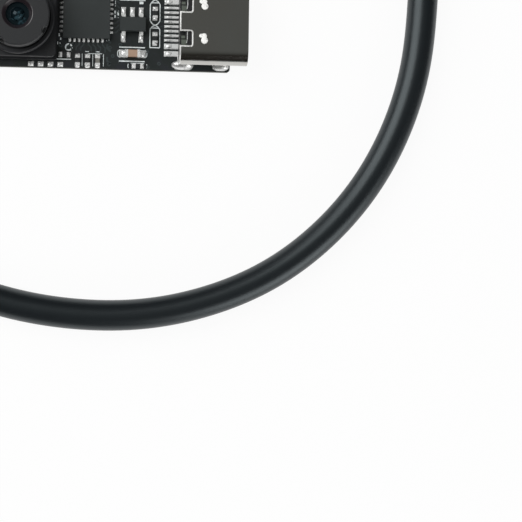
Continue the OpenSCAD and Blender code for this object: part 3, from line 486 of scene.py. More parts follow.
print("a drop of six rings has", len(dome_faces(6, 24)) + 1, "faces")

# %% [markdown]
# Joints stand at the controller's toes, the socket's tails and legs, the regulator's feet, the
# ends of the chip parts, the edge pads and the header's tails.

# %%
solder = []
TOE_OUT = 2.71
for quarter in range(4):
    out = np.array([math.cos(quarter * math.pi / 2), math.sin(quarter * math.pi / 2)]).round()
    along = np.array([-out[1], out[0]])
    size = (0.36, 0.27, 0.3) if out[0] else (0.27, 0.36, 0.27)
    for i in range(8):
        x, y = np.array([CONTROLLER_X, CONTROLLER_Y]) + out * TOE_OUT + along * (i - 3.5) * CONTACT_PITCH
        joint(x, y, size, -0.06 * out, 3)
TAILS = [((i + 0.5) * CONTACT_PITCH, 0.27) for i in range(4)] + [(2.4, 0.56), (3.2, 0.56)]
for side in (-1, 1):
    for y, width in TAILS:
        joint(-6.74, side * y, (0.86, width, 0.22), (0.16, 0))
    for x in (-0.95, 0.0, 0.95) if side > 0 else (-0.95, 0.95):
        joint(-10.64 + x, side * 1.56 - 0.19, (0.48, 0.72, 0.3), (0, -0.16 * side), 3)
    for end in (-1, 1):
        joint(CAPACITOR_X + end * 1.1, side * CAPACITOR_Y, (0.7, 0.84, 0.5), (-0.2 * end, 0))
for end in (-1, 1):
    for x, y in ((-17.87, -3.6), (-9.99, -4.62)):
        joint(x + end * 0.56, y, (0.2, 0.5, 0.26), (-0.05 * end, 0))
# Parts that lie across: x, y and the width of the upper end.
cross_parts = [(ROW_X + i * ROW_PITCH, -4.16, 0.2) for i in (-1, 0, 1)]
cross_parts += [(COLUMN_X, -1.6 + i * COLUMN_PITCH, 0.27) for i in range(3)]
for x, y, upper in cross_parts:
    joint(x, y + 0.57, (0.5, upper, 0.2), (0, -0.05))
    joint(x, y - 0.62, (0.5, 0.36, 0.3), (0, 0.08))
HEADER_X = (box("header_housing")[1][0] - BOARD_END) / MM
for i in range(4):
    joint(-19.87 + (i - 1.5) * 1.04, -4.66, (0.56, 0.46, 0.16), (-0.06, 0.03), 3.4)
    joint(HEADER_X + 0.62, (i - 1.5) * PIN_PITCH / MM, (0.8, 0.56, 0.27), (-0.1, 0))
make_piece("solder_joints", solder)

# Rounder drops at the socket's legs: x, y out from the middle, size, shift of the top.
LEG_DROPS = ((-5.22, 4.42, (2.3, 0.98, 0.72), 0.1), (-1.03, 4.53, (1.8, 0.76, 0.5), 0))
drops = [dome((x, side * y, PAD), size, (shift, -0.12 * side), 2.3, rings=8, sides=36)
         for side in (-1, 1) for x, y, size, shift in LEG_DROPS]
make_piece("leg_solder", drops, replaces=("shell_solder",))

# %% [markdown]
# ## The socket's punched edge
# A punch rounds the edge of the steel, and that edge catches light as a thin line. A Bevel
# would change the solid, so a fine round bar is swept along the edge and round both windows.

# %%
SHELL_LOW, SHELL_HIGH = box("socket_shell")
SHELL_BACK = np.array([SHELL_LOW[0], 0, 0])
WINDOW_L, WINDOW_Y, WINDOW_HALF, WINDOW_R = 1.3, 1.81, 0.84, 0.25
EDGE_R, EDGE_IN = 0.09, 0.075


def rear_edge():
    """The shell's rear edge from one side over the top to the other, through both windows."""
    full = (SHELL_HIGH[2] - TOP) / 2 / MM
    flat = (SHELL_HIGH[1] - SHELL_LOW[1]) / 2 / MM - full
    mid_z = TOP / MM + full
    radius = full - EDGE_IN
    turn = np.radians(np.linspace(-80, 90, 20))
    side = np.column_stack([0 * turn, flat + radius * np.cos(turn), mid_z + radius * np.sin(turn)])
    depth, outer, inner = WINDOW_L - WINDOW_R, WINDOW_Y + WINDOW_HALF, WINDOW_Y - WINDOW_HALF
    window = np.vstack([[(0, outer), (depth, outer)], arc(depth, outer - WINDOW_R, WINDOW_R, 75, 0, 6),
                        arc(depth, inner + WINDOW_R, WINDOW_R, 0, -75, 6), [(depth, inner), (0, inner)]])
    window = np.column_stack([window, np.full(len(window), mid_z + radius)])
    one = np.vstack([side, window])
    return np.vstack([one, (one * [1, -1, 1])[::-1]]) * MM + SHELL_BACK


make_piece("shell_punched_edge", [sweep(rear_edge(), circle_profile(EDGE_R * MM, 12))])

# %% [markdown]
# ## Weld marks
# Two spots of three runs of molten steel join the shell to the plate inside. They stand a
# little proud, so the solder's formula serves, rounder and lower, and needs no Boolean.

# %%
WELD_X, WELD_Y, WELD_SINK, WELD_H = 2.45, 1.82, 0.02, 0.13
WELD_SPOTS = ((-0.26, 0.3, 0.44), (0.06, 0.28, 0.6), (0.1, -0.18, 0.74))
weld_x = (SHELL_LOW[0] - BOARD_END) / MM + WELD_X
weld_z = (SHELL_HIGH[2] - TOP) / MM - WELD_SINK
welds = [dome((weld_x + x, side * WELD_Y + y, weld_z), (width, width, WELD_H), square=2)
         for side in (-1, 1) for x, y, width in WELD_SPOTS]
make_piece("weld_marks", welds)

# %% [markdown]
# ## Lugs in the windows
# Through each window a lug of the inner plate shows, with a bright folded rim. Solids could be
# cut for them, but low bars and a thin bent strip on the plain step show the same.

# %%
PLASTIC_TOP = (box("socket_insulator")[1][2] - 0.01 * MM) / MM
LUGS = ((0.1, 0.66, -0.42, 0.6, 0.05), (0.1, 0.5, 0.14, 0.3, 0.03))
RIM = ((0.74, 0.74), (0.74, -0.1), (0.66, -0.5))
RIM_W, RIM_H = 0.09 * MM, 0.07 * MM


def in_window(points, mid):
    """Places in a window, back from the shell's edge and out from the window's middle."""
    return np.array([(x, mid + y, PLASTIC_TOP) for x, y in points]) * MM + SHELL_BACK


mids = (-WINDOW_Y, WINDOW_Y)
lining = [sweep(in_window([(x0, y), (x1, y)], mid), strip_profile(width * MM, height * MM))
          for mid in mids for x0, x1, y, width, height in LUGS]
make_piece("window_lining", lining, smooth=False)
rims = [sweep(in_window(RIM, mid), strip_profile(RIM_W, RIM_H)) for mid in mids]
make_piece("window_rims", rims, smooth=False)

# %% [markdown]
# ## The lens head
# The head is moulded, with rounded edges and four grip notches. Spin and a Boolean shade badly,
# so a profile is turned as an array, and the wall's radius follows from the notch's circle.

# %%
BARREL_LOW, BARREL_HIGH = box("lens_barrel")
LENS_MID = (BARREL_LOW + BARREL_HIGH) / 2
LENS_AXIS = np.array([LENS_MID[0], LENS_MID[1], 0])
HEAD_R = (BARREL_HIGH[0] - BARREL_LOW[0]) / 2 / MM
HEAD_FOOT, HEAD_TOP = BARREL_LOW[2] / MM, BARREL_HIGH[2] / MM
HEAD_H, THREAD_R = 2.0, 3.0
BORE_R, BORE_UP, SEAT_R, SEAT_UP = 2.0, 1.75, 1.5, 0.65
NOTCH_N, NOTCH_R, NOTCH_H, NOTCH_OUT, NOTCH_TURN = 4, 0.42, 1.0, 0.14, 60
APERTURE, CONE_W, CONE_H = 1.22, 0.34, 0.4
IN_ROUND, OUT_ROUND, CUT_W = 0.16, 0.17, 0.6


def rounded(corner, before, after, radius, count=6):
    """Points of an arc that rounds a corner: its centre is the radius over the sine of half the
    corner's angle away from it, and it starts and ends where the edges touch it."""
    corner, before, after = (np.array(p, float) for p in (corner, before, after))
    one, two = unit(before - corner), unit(after - corner)
    half_turn = math.acos(float(np.clip(one @ two, -1, 1))) / 2
    mid = corner + unit(one + two) * radius / math.sin(half_turn)
    start = corner + one * radius / math.tan(half_turn) - mid
    end = corner + two * radius / math.tan(half_turn) - mid
    share = np.linspace(0, 1, count)[:, None]
    return mid + unit(start * (1 - share) + end * share) * radius


def turned(radius, height, turn):
    """Points of a profile carried round an axis: radius times the cosine and the sine of each
    angle, at its height. The radius may differ with the angle."""
    radius = np.broadcast_to(radius, (len(turn), len(height)))
    return np.stack([radius * np.cos(turn)[:, None], radius * np.sin(turn)[:, None],
                     np.broadcast_to(height, radius.shape)], -1).reshape(-1, 3)


def head_shape(sides=360):
    """A closed profile, turned, with a notched rim. A notch's wall lies where a ray from the axis
    meets its circle: the cosine's share of the way out, less the root of what the sine leaves."""
    floor_z, under = HEAD_TOP - NOTCH_H, HEAD_TOP - HEAD_H
    rim_in, rim_out = (APERTURE + CONE_W, HEAD_TOP), (HEAD_R, HEAD_TOP)
    throat = (APERTURE, HEAD_TOP - CONE_H)
    upper = np.vstack([[throat], rounded(rim_in, throat, rim_out, IN_ROUND),
                       rounded(rim_out, rim_in, (HEAD_R, floor_z), OUT_ROUND), [[HEAD_R, floor_z + 0.012]]])
    lower = [[HEAD_R, floor_z], [HEAD_R, under + 0.1], [HEAD_R - 0.1, under], [THREAD_R, under],
             [THREAD_R, HEAD_FOOT + 0.15], [THREAD_R - 0.15, HEAD_FOOT], [BORE_R, HEAD_FOOT],
             [BORE_R, HEAD_TOP - BORE_UP], [SEAT_R, HEAD_TOP - BORE_UP], [SEAT_R, HEAD_TOP - SEAT_UP],
             [APERTURE, HEAD_TOP - SEAT_UP]]
    profile = np.vstack([upper, lower])
    cut = (np.arange(len(profile)) < len(upper)) & (profile[:, 0] > HEAD_R - CUT_W)
    turn = around(sides)
    pitch = 2 * math.pi / NOTCH_N
    off = (turn - math.radians(NOTCH_TURN) + pitch / 2) % pitch - pitch / 2
    out = HEAD_R + NOTCH_OUT
    inside = np.maximum(NOTCH_R**2 - (out * np.sin(off)) ** 2, 0)
    wall = np.where(inside > 0, np.minimum(out * np.cos(off) - np.sqrt(inside), HEAD_R), HEAD_R)
    radius = profile[:, 0][None] - cut[None] * (HEAD_R - wall)[:, None]
    faces = quads(sides, len(profile), close_rows=True).tolist()
    return turned(radius, profile[:, 1], turn) * MM + LENS_AXIS, faces


make_piece("lens_head_turned", [head_shape()], smooth=False, replaces=("lens_barrel",))

# %% [markdown]
# ## The front glass
# The first lens is a small, strongly curved bead in a dark well, so it mirrors each soft box
# small. A sphere's cap has no seat, so a profile is turned again.

# %%
GLASS_LOW, GLASS_HIGH = box("front_lens")
GLASS_R = (GLASS_HIGH[0] - GLASS_LOW[0]) / 2 / MM
GLASS_FOOT, CROWN = GLASS_LOW[2] / MM, GLASS_HIGH[2] / MM
BEAD_R, BEAD_CURVE = 0.74, 0.8


def glass_shape(sides=96):
    """A bead in a shallow cone, closed underneath. Over the bead the height is the circle's: the
    root of its radius squared less r squared."""
    r = np.linspace(0, BEAD_R, 18)
    top = np.column_stack([r, CROWN - BEAD_CURVE + np.sqrt(BEAD_CURVE**2 - r**2)])
    low = top[-1, 1]
    rim = [(BEAD_R + 0.03, low), (GLASS_R - 0.04, low + 0.16), (GLASS_R, low + 0.12), (GLASS_R, GLASS_FOOT)]
    profile = np.vstack([top[1:], rim])
    m = len(profile)
    wall = turned(profile[:, 0], profile[:, 1], around(sides))
    verts = np.vstack([wall, [[0, 0, CROWN], [0, 0, GLASS_FOOT]]])
    faces = quads(sides, m, close_rows=True, close_columns=False).tolist()
    faces += [[sides * m, j * m, (j + 1) % sides * m] for j in range(sides)]
    faces += [[sides * m + 1, (j + 1) % sides * m + m - 1, j * m + m - 1] for j in range(sides)]
    return verts * MM + LENS_AXIS, faces


make_piece("front_glass", [glass_shape()], replaces=("front_lens",))

# %% [markdown]
# ## The stage
# The steel shell is a mirror that shows a dim ceiling, dark walls and the white table. Cards
# could stand round it, but a dome that only mirror rays see serves from every side.

# %%
FLOOR_Z, TABLE_HALF, ROOM_R = -0.15 * MM, 3.0, 1.0


def room_shape(rings=24, sides=48):
    """A dome: a ring's radius and height are the cosine and sine of its rise."""
    rise = np.linspace(0.0, math.pi / 2, rings + 1)[:-1, None]
    turn = around(sides)
    level = ROOM_R * np.cos(rise)
    verts = np.stack([level * np.cos(turn), level * np.sin(turn), ROOM_R * np.sin(rise) + 0 * turn], -1)
    inwards = [face[::-1] for face in dome_faces(rings, sides)]
    return np.vstack([verts.reshape(-1, 3), [[0, 0, ROOM_R]]]).tolist(), inwards


table_corners = [(x * TABLE_HALF, y * TABLE_HALF, 0) for x, y in ((-1, -1), (1, -1), (1, 1), (-1, 1))]
floor, room = new_object("table", table_corners, [(0, 1, 2, 3)]), new_object("room", *room_shape())
floor.location = (0, 0, FLOOR_Z)
for ray in ("camera", "diffuse", "shadow", "transmission", "volume_scatter"):
    setattr(room, "visible_" + ray, False)
print("the table is", 2 * TABLE_HALF, "m wide, and the room", 2 * ROOM_R, "m")

# %% [markdown]
# ## Two soft lamps
# Point lamps would leave hard spots on the lead, so large area lamps are used, each facing the
# module's middle.

# %%
LIT_PLACE = np.array([0.01, -0.012, 0])


def area_lamp(name, direction, distance, width, height, power):
    """A soft box at that direction from the module's middle, facing it."""
    data = bpy.data.lights.new(name, "AREA")
    data.shape = "RECTANGLE"
    data.size, data.size_y, data.energy = width, height, power
    lamp = bpy.data.objects.new(name, data)
    back = unit(np.array(direction, float)) * distance
    lamp.location = tuple(back + LIT_PLACE)
    tilt = math.atan2(math.hypot(back[0], back[1]), back[2])
    lamp.rotation_euler = (tilt, 0, math.atan2(back[0], -back[1]))
    SCENE.collection.objects.link(lamp)
    print(name, "at", np.round(back, 2), "gives", power, "W")


area_lamp("upper_left_box", (-0.63, 0.33, 0.703), 0.55, 0.42, 0.54, 2.4)
area_lamp("lower_right_box", (0.61, -0.71, 0.34), 0.6, 0.44, 0.38, 1.6)

# %% [markdown]
# ## Shader maths as Python
# Nodes could be added one by one. Shorter is a class round a socket, on which arithmetic adds
# Math nodes. Any other node comes from one method with its type, settings and values.


# %%
def maths(operation, flip=False):
    """A method that adds a Math node of a value and, for most operations, one other."""
    def apply(self, *others):
        values = (self, *others)
        return self.tree.node("Math", {"operation": operation}, values[::-1] if flip else values)
    return apply


class Value:
    """A socket's number, with arithmetic that builds Math nodes."""

    __add__ = __radd__ = maths("ADD")
    __sub__, __rsub__ = maths("SUBTRACT"), maths("SUBTRACT", flip=True)
    __mul__ = __rmul__ = maths("MULTIPLY")
    __truediv__, __pow__ = maths("DIVIDE"), maths("POWER")
    above, size = maths("GREATER_THAN"), maths("ABSOLUTE")

    def __init__(self, tree, socket):
        self.tree, self.socket = tree, socket


class Tree:
    """A tree of nodes, of a material or of the world."""

    def __init__(self, tree):
        self.tree = tree

    def node(self, kind, settings=None, values=(), output=0):
        """Adds a shader node. Settings come first, then its sockets by place or by name."""
        node = self.tree.nodes.new("ShaderNode" + kind)
        for key, value in (settings or {}).items():
            if key == "stops":
                ramp = node.color_ramp
                while len(ramp.elements) < len(value):
                    ramp.elements.new(0.5)
                for element, (place, shade) in zip(ramp.elements, value):
                    element.position, element.color = place, (*shade, 1)
            else:
                setattr(node, key, value)
        pairs = values.items() if isinstance(values, dict) else enumerate(values)
        for key, value in pairs:
            self.feed(node.inputs[key], value)
        return Value(self, node.outputs[output])

    def feed(self, socket, value):
        """Links a value to a socket, or sets the socket's own number or colour."""
        if isinstance(value, Value):
            self.tree.links.new(value.socket, socket)
        elif socket.type == "RGBA" and len(value) == 3:
            socket.default_value = (*value, 1)
        else:
            socket.default_value = value

    def background_seen(self):
        """1 for rays from the camera, and for those that mirrors and glass send on."""
        path = self.tree.nodes.new("ShaderNodeLightPath")
        seen = Value(self, path.outputs["Is Camera Ray"]) + Value(self, path.outputs["Is Glossy Ray"])
        return seen + Value(self, path.outputs["Is Transmission Ray"])


print("a value can be used on the right of", [name for name in vars(Value) if name.startswith("__r")])

# %% [markdown]
# ## One finish
# A look is one material, with methods for what most finishes share: the point on the object,
# noise of a given size, a mix of two colours and a bump.


# %%
class Look(Tree):
    """One material: a Principled shader and the nodes that feed it."""

    def __init__(self, name):
        self.material = bpy.data.materials.new(name)
        self.material.use_nodes = True
        super().__init__(self.material.node_tree)
        self.tree.nodes.clear()
        self.shader = self.tree.nodes.new("ShaderNodeBsdfPrincipled")
        self.out = self.tree.nodes.new("ShaderNodeOutputMaterial")
        self.tree.links.new(self.shader.outputs[0], self.out.inputs[0])

    def place(self):
        """The point on the object, in metres."""
        return self.node("TexCoord", output="Object")

    def axes(self):
        """The three coordinates of that point."""
        split = self.tree.nodes.new("ShaderNodeSeparateXYZ")
        self.feed(split.inputs[0], self.place())
        return [Value(self, s) for s in split.outputs]

    def from_axis(self, middle_x, middle_y):
        """Distance from an upright axis: the root of x squared plus y squared."""
        x, y, _ = self.axes()
        return ((x - float(middle_x)) ** 2.0 + (y - float(middle_y)) ** 2.0) ** 0.5

    def noise(self, size, detail=3.0, rough=0.5, stretch=None, start=None):
        """Noise whose blotches are about that many millimetres wide."""
        where = start or self.place()
        if stretch:
            where = self.node("Mapping", {}, {"Vector": where, "Scale": stretch})
        return self.node("TexNoise", {}, {"Vector": where, "Scale": 1 / (size * MM),
                                                     "Detail": detail, "Roughness": rough})

    def mix(self, share, one, two):
        """Colour one where share is 0, colour two where it is 1."""
        return self.node("Mix", {"data_type": "RGBA"}, {0: share, 6: one, 7: two}, output=2)

    def ramp(self, value, stops):
        """Colours that follow a number, given as places from 0 to 1 with their colours."""
        return self.node("ValToRGB", {"stops": stops}, (value,))

    def bump(self, height, depth, strength=1.0):
        """A bump whose full height is depth millimetres."""
        return self.node("Bump", {}, {"Height": height, "Distance": depth * MM,
                                                "Strength": strength})

    def finish(self, colour, **sockets):
        """Sets the shader's sockets, named with underscores for spaces, and gives the material."""
        for name, value in {"Base_Color": colour, **sockets}.items():
            self.feed(self.shader.inputs[name.replace("_", " ")], value)
        return self.material


def dress(material, *names):
    """Gives the material to CAD nodes and pieces."""
    for name in names:
        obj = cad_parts.get(name) or bpy.data.objects[name]
        obj.data.materials.clear()
        obj.data.materials.append(material)
    print(material.name, "on", ", ".join(names))


# %% [markdown]
# ## The jacket's finish
# Soft vinyl has a satin gloss, draw lines and dust. Dust could be particles, but at this size
# pale spots in the colour do. The lines follow the jacket's map.


# %%
def jacket_look():
    """Satin black vinyl with draw lines, specks and a little dust."""
    look = Look("jacket")
    uv = look.node("TexCoord", output="UV")
    lines = look.noise(0.12, 2, 0.5, stretch=(0.02, 1, 1), start=uv)
    specks = look.noise(0.35, 4, 0.6)
    dust = look.noise(1.6, 5, 0.7).above(0.735) * specks.above(0.58)
    base = look.mix(dust * 0.5, (0.0082, 0.0108, 0.0132), (0.05, 0.055, 0.06))
    gloss = 0.3 + 0.08 * specks + 0.05 * lines
    return look.finish(base, Roughness=gloss, Specular_IOR_Level=0.6,
                       Specular_Tint=(0.86, 0.97, 1.0),
                       Normal=look.bump(specks * 0.7 + lines * 0.3, 0.006, 0.6))


dress(jacket_look(), "lead_jacket")

# %% [markdown]
# ## Mouldings
# Plugs, chips and the holder are moulded in spark-eroded or polished tools. They differ in
# colour, gloss and grain only, so one function and a table serve all.


# %%
def moulded_look(name, colour, rough, grain, depth):
    """A moulded surface: blotched colour, uneven gloss and a spark-eroded grain."""
    look = Look(name)
    blotch = look.noise(1.8, 3)
    fine = look.noise(grain, 3, 0.6)
    light = tuple(min(1, c * 1.35 + 0.004) for c in colour)
    base = look.mix(blotch * 0.6, colour, light)
    return look.finish(base, Roughness=rough - 0.06 + 0.14 * fine,
                       Normal=look.bump(fine, depth, 0.7))


# Colour, roughness, grain and depth of the relief in millimetres, pieces.
MOULDINGS = {
    "overmould": ((0.012, 0.012, 0.0135), 0.5, 0.12, 0.02, "plug_grip plug_relief"),
    "shrink_sleeve": ((0.011, 0.011, 0.012), 0.42, 0.5, 0.03, "shrink_sleeve"),
    "lens_block": ((0.0085, 0.0096, 0.0118), 0.55, 0.07, 0.008, "lens_holder"),
    "socket_plastic": ((0.013, 0.013, 0.014), 0.45, 0.06, 0.005, "socket_insulator"),
    "chip_body": ((0.0205, 0.0262, 0.0262), 0.58, 0.05, 0.006, "controller_chip regulator_body"),
    "ivory_nylon": ((0.72, 0.68, 0.57), 0.42, 0.1, 0.006, "header_housing lead_connector"),
    "white_moulding": ((0.78, 0.78, 0.76), 0.35, 0.1, 0.005, "plug_tongue"),
    "window_lining": ((0.1, 0.115, 0.095), 0.3, 0.2, 0.01, "window_lining"),
    "sensor_die": ((0.02, 0.024, 0.022), 0.25, 0.2, 0.001, "image_sensor"),
    "mask_over_copper": ((0.03, 0.04, 0.041), 0.36, 0.2, 0.002, "tracks_under_mask")}
WIRES = {"red": (0.42, 0.02, 0.02), "white": (0.74, 0.74, 0.71), "green": (0.03, 0.22, 0.07),
         "black": (0.012, 0.012, 0.013)}
for name, colour in WIRES.items():
    MOULDINGS["wire_skin_" + name] = (colour, 0.38, 0.15, 0.004, "wire_" + name + "_skin")
for name, (colour, rough, grain, depth, pieces) in MOULDINGS.items():
    dress(moulded_look(name, colour, rough, grain, depth), *pieces.split())

# %% [markdown]
# ## Small parts
# Resistors have a glazed black top, and one part is bare ceramic. Their bodies are one node, so
# a second material would need picked faces. The place switches the colour instead.


# %%
def small_part_look():
    """Glazed black tops, and one bare grey-brown ceramic at the end of the row."""
    look = Look("small_parts")
    x, y, _ = look.axes()
    start, end = (float(BOARD_END + (ROW_X + share * ROW_PITCH) * MM) for share in (0.5, 1.5))
    bare = x.above(start) * (1 - x.above(end)) * (1 - y.above(-3.4 * MM))
    fine = look.noise(0.06, 3, 0.6)
    glaze = look.mix(fine, (0.012, 0.015, 0.016), (0.03, 0.034, 0.034))
    fired = look.mix(fine, (0.13, 0.13, 0.115), (0.24, 0.235, 0.21))
    return look.finish(look.mix(bare, glaze, fired), Roughness=0.36 + 0.2 * bare + 0.1 * fine,
                       Normal=look.bump(fine, 0.005, 0.6))


dress(small_part_look(), "chip_bodies")

# %% [markdown]
# ## The lens head's finish
# A fine grain keeps stray light down, while a polished pin of the mould left the cone round the
# glass glossy. Distance from the lens axis tells the two apart, and a coat adds the gloss.


# %%
def head_look():
    """Fine-grained black on top; the cone round the glass was left glossy by its polished pin."""
    look = Look("lens_head")
    cone = 1 - look.from_axis(*LENS_MID[:2]).above((APERTURE + CONE_W + 0.06) * MM)
    blotch = look.noise(1.8, 3)
    fine = look.noise(0.06, 3, 0.6)
    black = look.mix(blotch * 0.6, (0.015, 0.0164, 0.0182), (0.0215, 0.0235, 0.0255))
    # Painted highlight tint: the cone's faint pink colour stands in for the pink of its highlight.
    return look.finish(look.mix(cone, black, (0.017, 0.0125, 0.015)),
                       Roughness=0.44 - 0.2 * cone + 0.14 * fine, Coat_Weight=cone * 0.7,
                       Coat_Roughness=0.16, Normal=look.bump(fine, 0.006, 0.6))


dress(head_look(), "lens_head_turned", "lens_barrel", "lens_retainer")

# %% [markdown]
# ## The board
# Black mask covers both faces, and the sawn edges show the glass-fibre core. The Normal's z
# tells them apart, which needs no second material.


# %%
def board_look():
    """Black mask on the faces; the glass-fibre core shows on the sawn edges."""
    look = Look("solder_mask")
    facing = look.node("TexCoord", output="Normal")
    edge = 1 - look.node("SeparateXYZ", {}, (facing,), output=2).size().above(0.5)
    fibre = look.noise(0.06, 2, 0.5, stretch=(0.3, 0.3, 3))
    blotch = look.noise(2.5, 4)
    tint = look.ramp(look.noise(1.1, 3), [
        (0.38, (0.0085, 0.0135, 0.012)), (0.5, (0.0105, 0.014, 0.0145)), (0.62, (0.015, 0.016, 0.024))])
    mask = look.mix(blotch, tint, (0.015, 0.0205, 0.0205))
    core = look.mix(fibre, (0.035, 0.036, 0.028), (0.1, 0.1, 0.08))
    fine = look.noise(0.09, 3)
    return look.finish(look.mix(edge, mask, core), Roughness=0.34 + 0.1 * fine + 0.35 * edge,
                       Normal=look.bump(fine, 0.004, 0.6))


dress(board_look(), "circuit_board")

# %% [markdown]
# ## Tin, solder and gold
# Cooled solder is bright under a frosty skin. A plain mirror would go black in the dark room,
# so a share stays matt. Gold flash and worn steel are the same with other numbers.


# %%
GOLD = (0.86, 0.62, 0.28)


def tin_look(name, colour, rough, metal, stain):
    """Cooled solder or tin: bright metal under a frosty, partly matt skin."""
    look = Look(name)
    fine = look.noise(0.1, 4, 0.6)
    blotch = look.noise(0.4, 3)
    dark = tuple(c * stain for c in colour)
    frost = look.ramp(blotch, [(0.33, (0, 0, 0)), (0.42, (1, 1, 1))])
    return look.finish(look.mix(frost, dark, colour), Metallic=metal, Roughness=rough + 0.2 * fine,
                       Normal=look.bump(fine, 0.012, 0.7))


# Colour, roughness, metallic share, share of the colour in the stains, pieces.
TINS = {
    "tin": ((0.96, 0.97, 0.96), 0.17, 0.42, 0.3,
            "window_rims solder_joints board_pads controller_leads regulator_leads capacitor_ends chip_ends"),
    "plated_tin": ((0.8, 0.8, 0.78), 0.26, 1.0, 0.85, "header_pins header_clips crimp_terminals"),
    "punched_steel": ((0.9, 0.9, 0.88), 0.4, 0.55, 0.7, "shell_punched_edge"),
    "weld_metal": ((1.0, 1.0, 0.97), 0.5, 0.0, 0.75, "weld_marks"),
    "gold_flash": (GOLD, 0.22, 1.0, 0.85, "plug_contacts"),
    "leg_solder": ((0.82, 0.82, 0.81), 0.2, 0.7, 0.35, "leg_solder")}
for name, (colour, rough, metal, stain, pieces) in TINS.items():
    dress(tin_look(name, colour, rough, metal, stain), *pieces.split())

# %% [markdown]
# ## Drawn steel
# Drawn sheet has long fine scratches. An anisotropic shader would need tangents, while noise
# stretched along X gives the same streaks.


# %%
def steel_look(name, colour=(0.54, 0.545, 0.53), rough=0.1):
    """Drawn sheet: long fine scratches along X, warm smears and a few pits."""
    look = Look(name)
    draw = look.noise(0.07, 3, 0.6, stretch=(0.06, 1, 1))
    smear = look.noise(3.0, 4, 0.55)
    pits = look.noise(0.14, 2).above(0.71)
    warm = look.mix(smear, colour, (0.51, 0.485, 0.455))
    base = look.mix(pits * 0.25, warm, (0.25, 0.24, 0.22))
    return look.finish(base, Metallic=1.0, Roughness=rough + 0.06 * draw + 0.04 * smear,
                       Normal=look.bump(draw, 0.0025, 0.5))


dress(steel_look("shell_steel"), "socket_shell")
dress(steel_look("plug_steel", (0.66, 0.66, 0.65), 0.2), "plug_shell", "socket_mid_plate")

# %% [markdown]
# ## Contacts and ceramic
# A contact is tinned where it is soldered and gold where a plug slides on it. The place along X
# switches the two, with no second material. The capacitor's ceramic is cloudy and speckled.


# %%
def contact_look():
    """Tin on the soldered tails behind the shell, gold on the strips inside."""
    look = Look("contact_metal")
    inside = look.axes()[0].above(float(SHELL_LOW[0]) + 0.3 * MM)
    fine = look.noise(0.08, 3)
    return look.finish(look.mix(inside, (0.93, 0.94, 0.93), GOLD), Metallic=0.5 + 0.5 * inside,
                       Roughness=0.42 + 0.16 * fine, Normal=look.bump(fine, 0.006, 0.6))


def ceramic_look():
    """Fired ceramic: cloudy tan under fine pale specks."""
    look = Look("tan_ceramic")
    speck = look.noise(0.07, 4, 0.7)
    cloud = look.noise(0.5, 3)
    base = look.mix(cloud, (0.3, 0.185, 0.125), (0.42, 0.275, 0.19))
    return look.finish(look.mix(speck * 0.35, base, (0.55, 0.42, 0.32)),
                       Roughness=0.42 + 0.2 * speck, Normal=look.bump(speck, 0.01, 0.6))


dress(contact_look(), "socket_contacts")
dress(ceramic_look(), "capacitor_bodies")

# %% [markdown]
# ## Glass
# Clear glass over a black well needs many bounces and bakes badly, so each lens is a dark body
# with a cool gloss. A bluish reflection in its coating is painted into the colour, to one side.


# %%
def lens_look(name, deep, rim, radius):
    """Coated glass: dark in the middle, paler to the rim, with a bluish reflection painted in to one side."""
    look = Look(name)
    x, y = middle("front_lens")[:2]
    across = look.from_axis(x, y) / radius
    haze = look.noise(0.6, 3)
    # Painted reflection: a bluish patch of the coating's reflection, set off to one side of the axis.
    near = look.noise(0.34, 2) + 0.14 - look.from_axis(x + 0.25 * MM, y - 0.5 * MM) / (2.6 * MM)
    painted_reflection = look.ramp(near, [(0.42, (0, 0, 0)), (0.56, (1, 1, 1))])
    base = look.mix(across * 0.9 + haze * 0.2 - 0.1, deep, rim)
    return look.finish(look.mix(painted_reflection, base, tuple(c * 5 for c in rim)),
                       Roughness=0.06 + 0.05 * haze, Specular_IOR_Level=0.3, Specular_Tint=(0.7, 0.9, 1.0))


# Colours in the middle and at the rim, radius of the rim in millimetres, pieces.
GLASSES = {
    "front_glass": ((0.004, 0.0085, 0.011), (0.006, 0.0125, 0.0155), 1.3, "front_glass front_lens"),
    "rear_glass": ((0.01, 0.02, 0.025), (0.04, 0.08, 0.08), 1.9, "rear_lens"),
    "filter_glass": ((0.1, 0.18, 0.17), (0.16, 0.25, 0.23), 3, "infrared_filter")}
for name, (deep, rim, radius, pieces) in GLASSES.items():
    dress(lens_look(name, deep, rim, radius * MM), *pieces.split())

# %% [markdown]
# ## Tape and ink
# Looped tape has too many threads to model, so a cell pattern raises them. Ink is thin in
# places and shows the mask through.


# %%
def strap_look():
    """Looped tape: a close weave of short threads."""
    look = Look("looped_tape")
    weave = look.node("TexVoronoi", {}, {"Vector": look.place(), "Scale": 1 / (0.22 * MM)})
    fuzz = look.noise(0.1, 4, 0.7)
    return look.finish(look.mix(fuzz, (0.01, 0.01, 0.011), (0.035, 0.035, 0.038)),
                       Roughness=0.85, Normal=look.bump(weave * 0.6 + fuzz * 0.4, 0.08, 0.9))


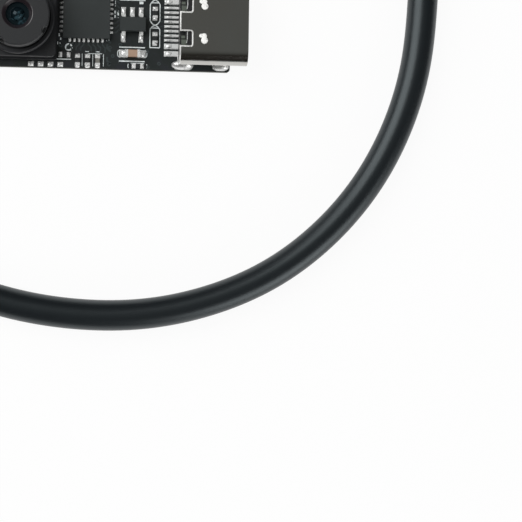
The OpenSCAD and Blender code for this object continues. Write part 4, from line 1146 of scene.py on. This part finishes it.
def ink_look():
    """White epoxy ink: a little thin and grey in places."""
    look = Look("white_ink")
    thin = look.noise(0.25, 4, 0.65)
    base = look.ramp(thin, [(0.3, (0.56, 0.62, 0.63)), (0.5, (0.82, 0.88, 0.88)), (0.75, (0.93, 0.98, 0.97))])
    return look.finish(base, Roughness=0.5 + 0.2 * thin, Normal=look.bump(thin, 0.006, 0.6))


dress(strap_look(), "coil_tie")
dress(ink_look(), "printed_lines")

# %% [markdown]
# ## Table, room and sky
# More light on a white table would wash the object out. So the table and the sky are shown
# white to the camera and to mirrors only, and a matt share of the table keeps the shadow.


# %%
SHOWN_SHARE, SKY_LIGHT = 0.93, 0.35


def table_look():
    """White to the camera and to mirrors, with a share of plain matt white that keeps shadows."""
    look = Look("table_white")
    look.finish((0.92, 0.92, 0.92), Roughness=0.9, Specular_IOR_Level=0.0)
    seen = look.background_seen() * SHOWN_SHARE
    glow = look.node("Emission", {}, {"Color": (1, 1, 1), "Strength": 1.0})
    mixed = look.node("MixShader", {}, (seen, Value(look, look.shader.outputs[0]), glow))
    look.tree.links.new(mixed.socket, look.out.inputs[0])
    return look.material


def room_look():
    """A dark warm room that is a little paler overhead."""
    look = Look("room_dark")
    height = look.axes()[2]
    glow = look.ramp(height, [(0.0, (0.012, 0.01, 0.008)), (0.75, (0.022, 0.02, 0.017)),
                              (0.96, (0.112, 0.116, 0.11)), (1.0, (0.13, 0.134, 0.128))])
    return look.finish((0, 0, 0), Roughness=1.0, Emission_Color=glow, Emission_Strength=1.0,
                       Specular_IOR_Level=0.0)


floor.data.materials.append(table_look())
room.data.materials.append(room_look())

world = bpy.data.worlds.new("sky")
world.use_nodes = True
sky = Tree(world.node_tree)
backdrop = world.node_tree.nodes["Background"]
strength = sky.node("MapRange", {}, {0: sky.background_seen(), 3: SKY_LIGHT, 4: 1.0})
sky.feed(backdrop.inputs[0], (1, 1, 1))
sky.feed(backdrop.inputs[1], strength)
SCENE.world = world
SCENE.view_settings.view_transform = "Standard"
print("the sky lights the object at", SKY_LIGHT, "of its shown white")

# %% [markdown]
# ## Sizes
# Pieces made here may stand past the solids by a few tenths of a millimetre.
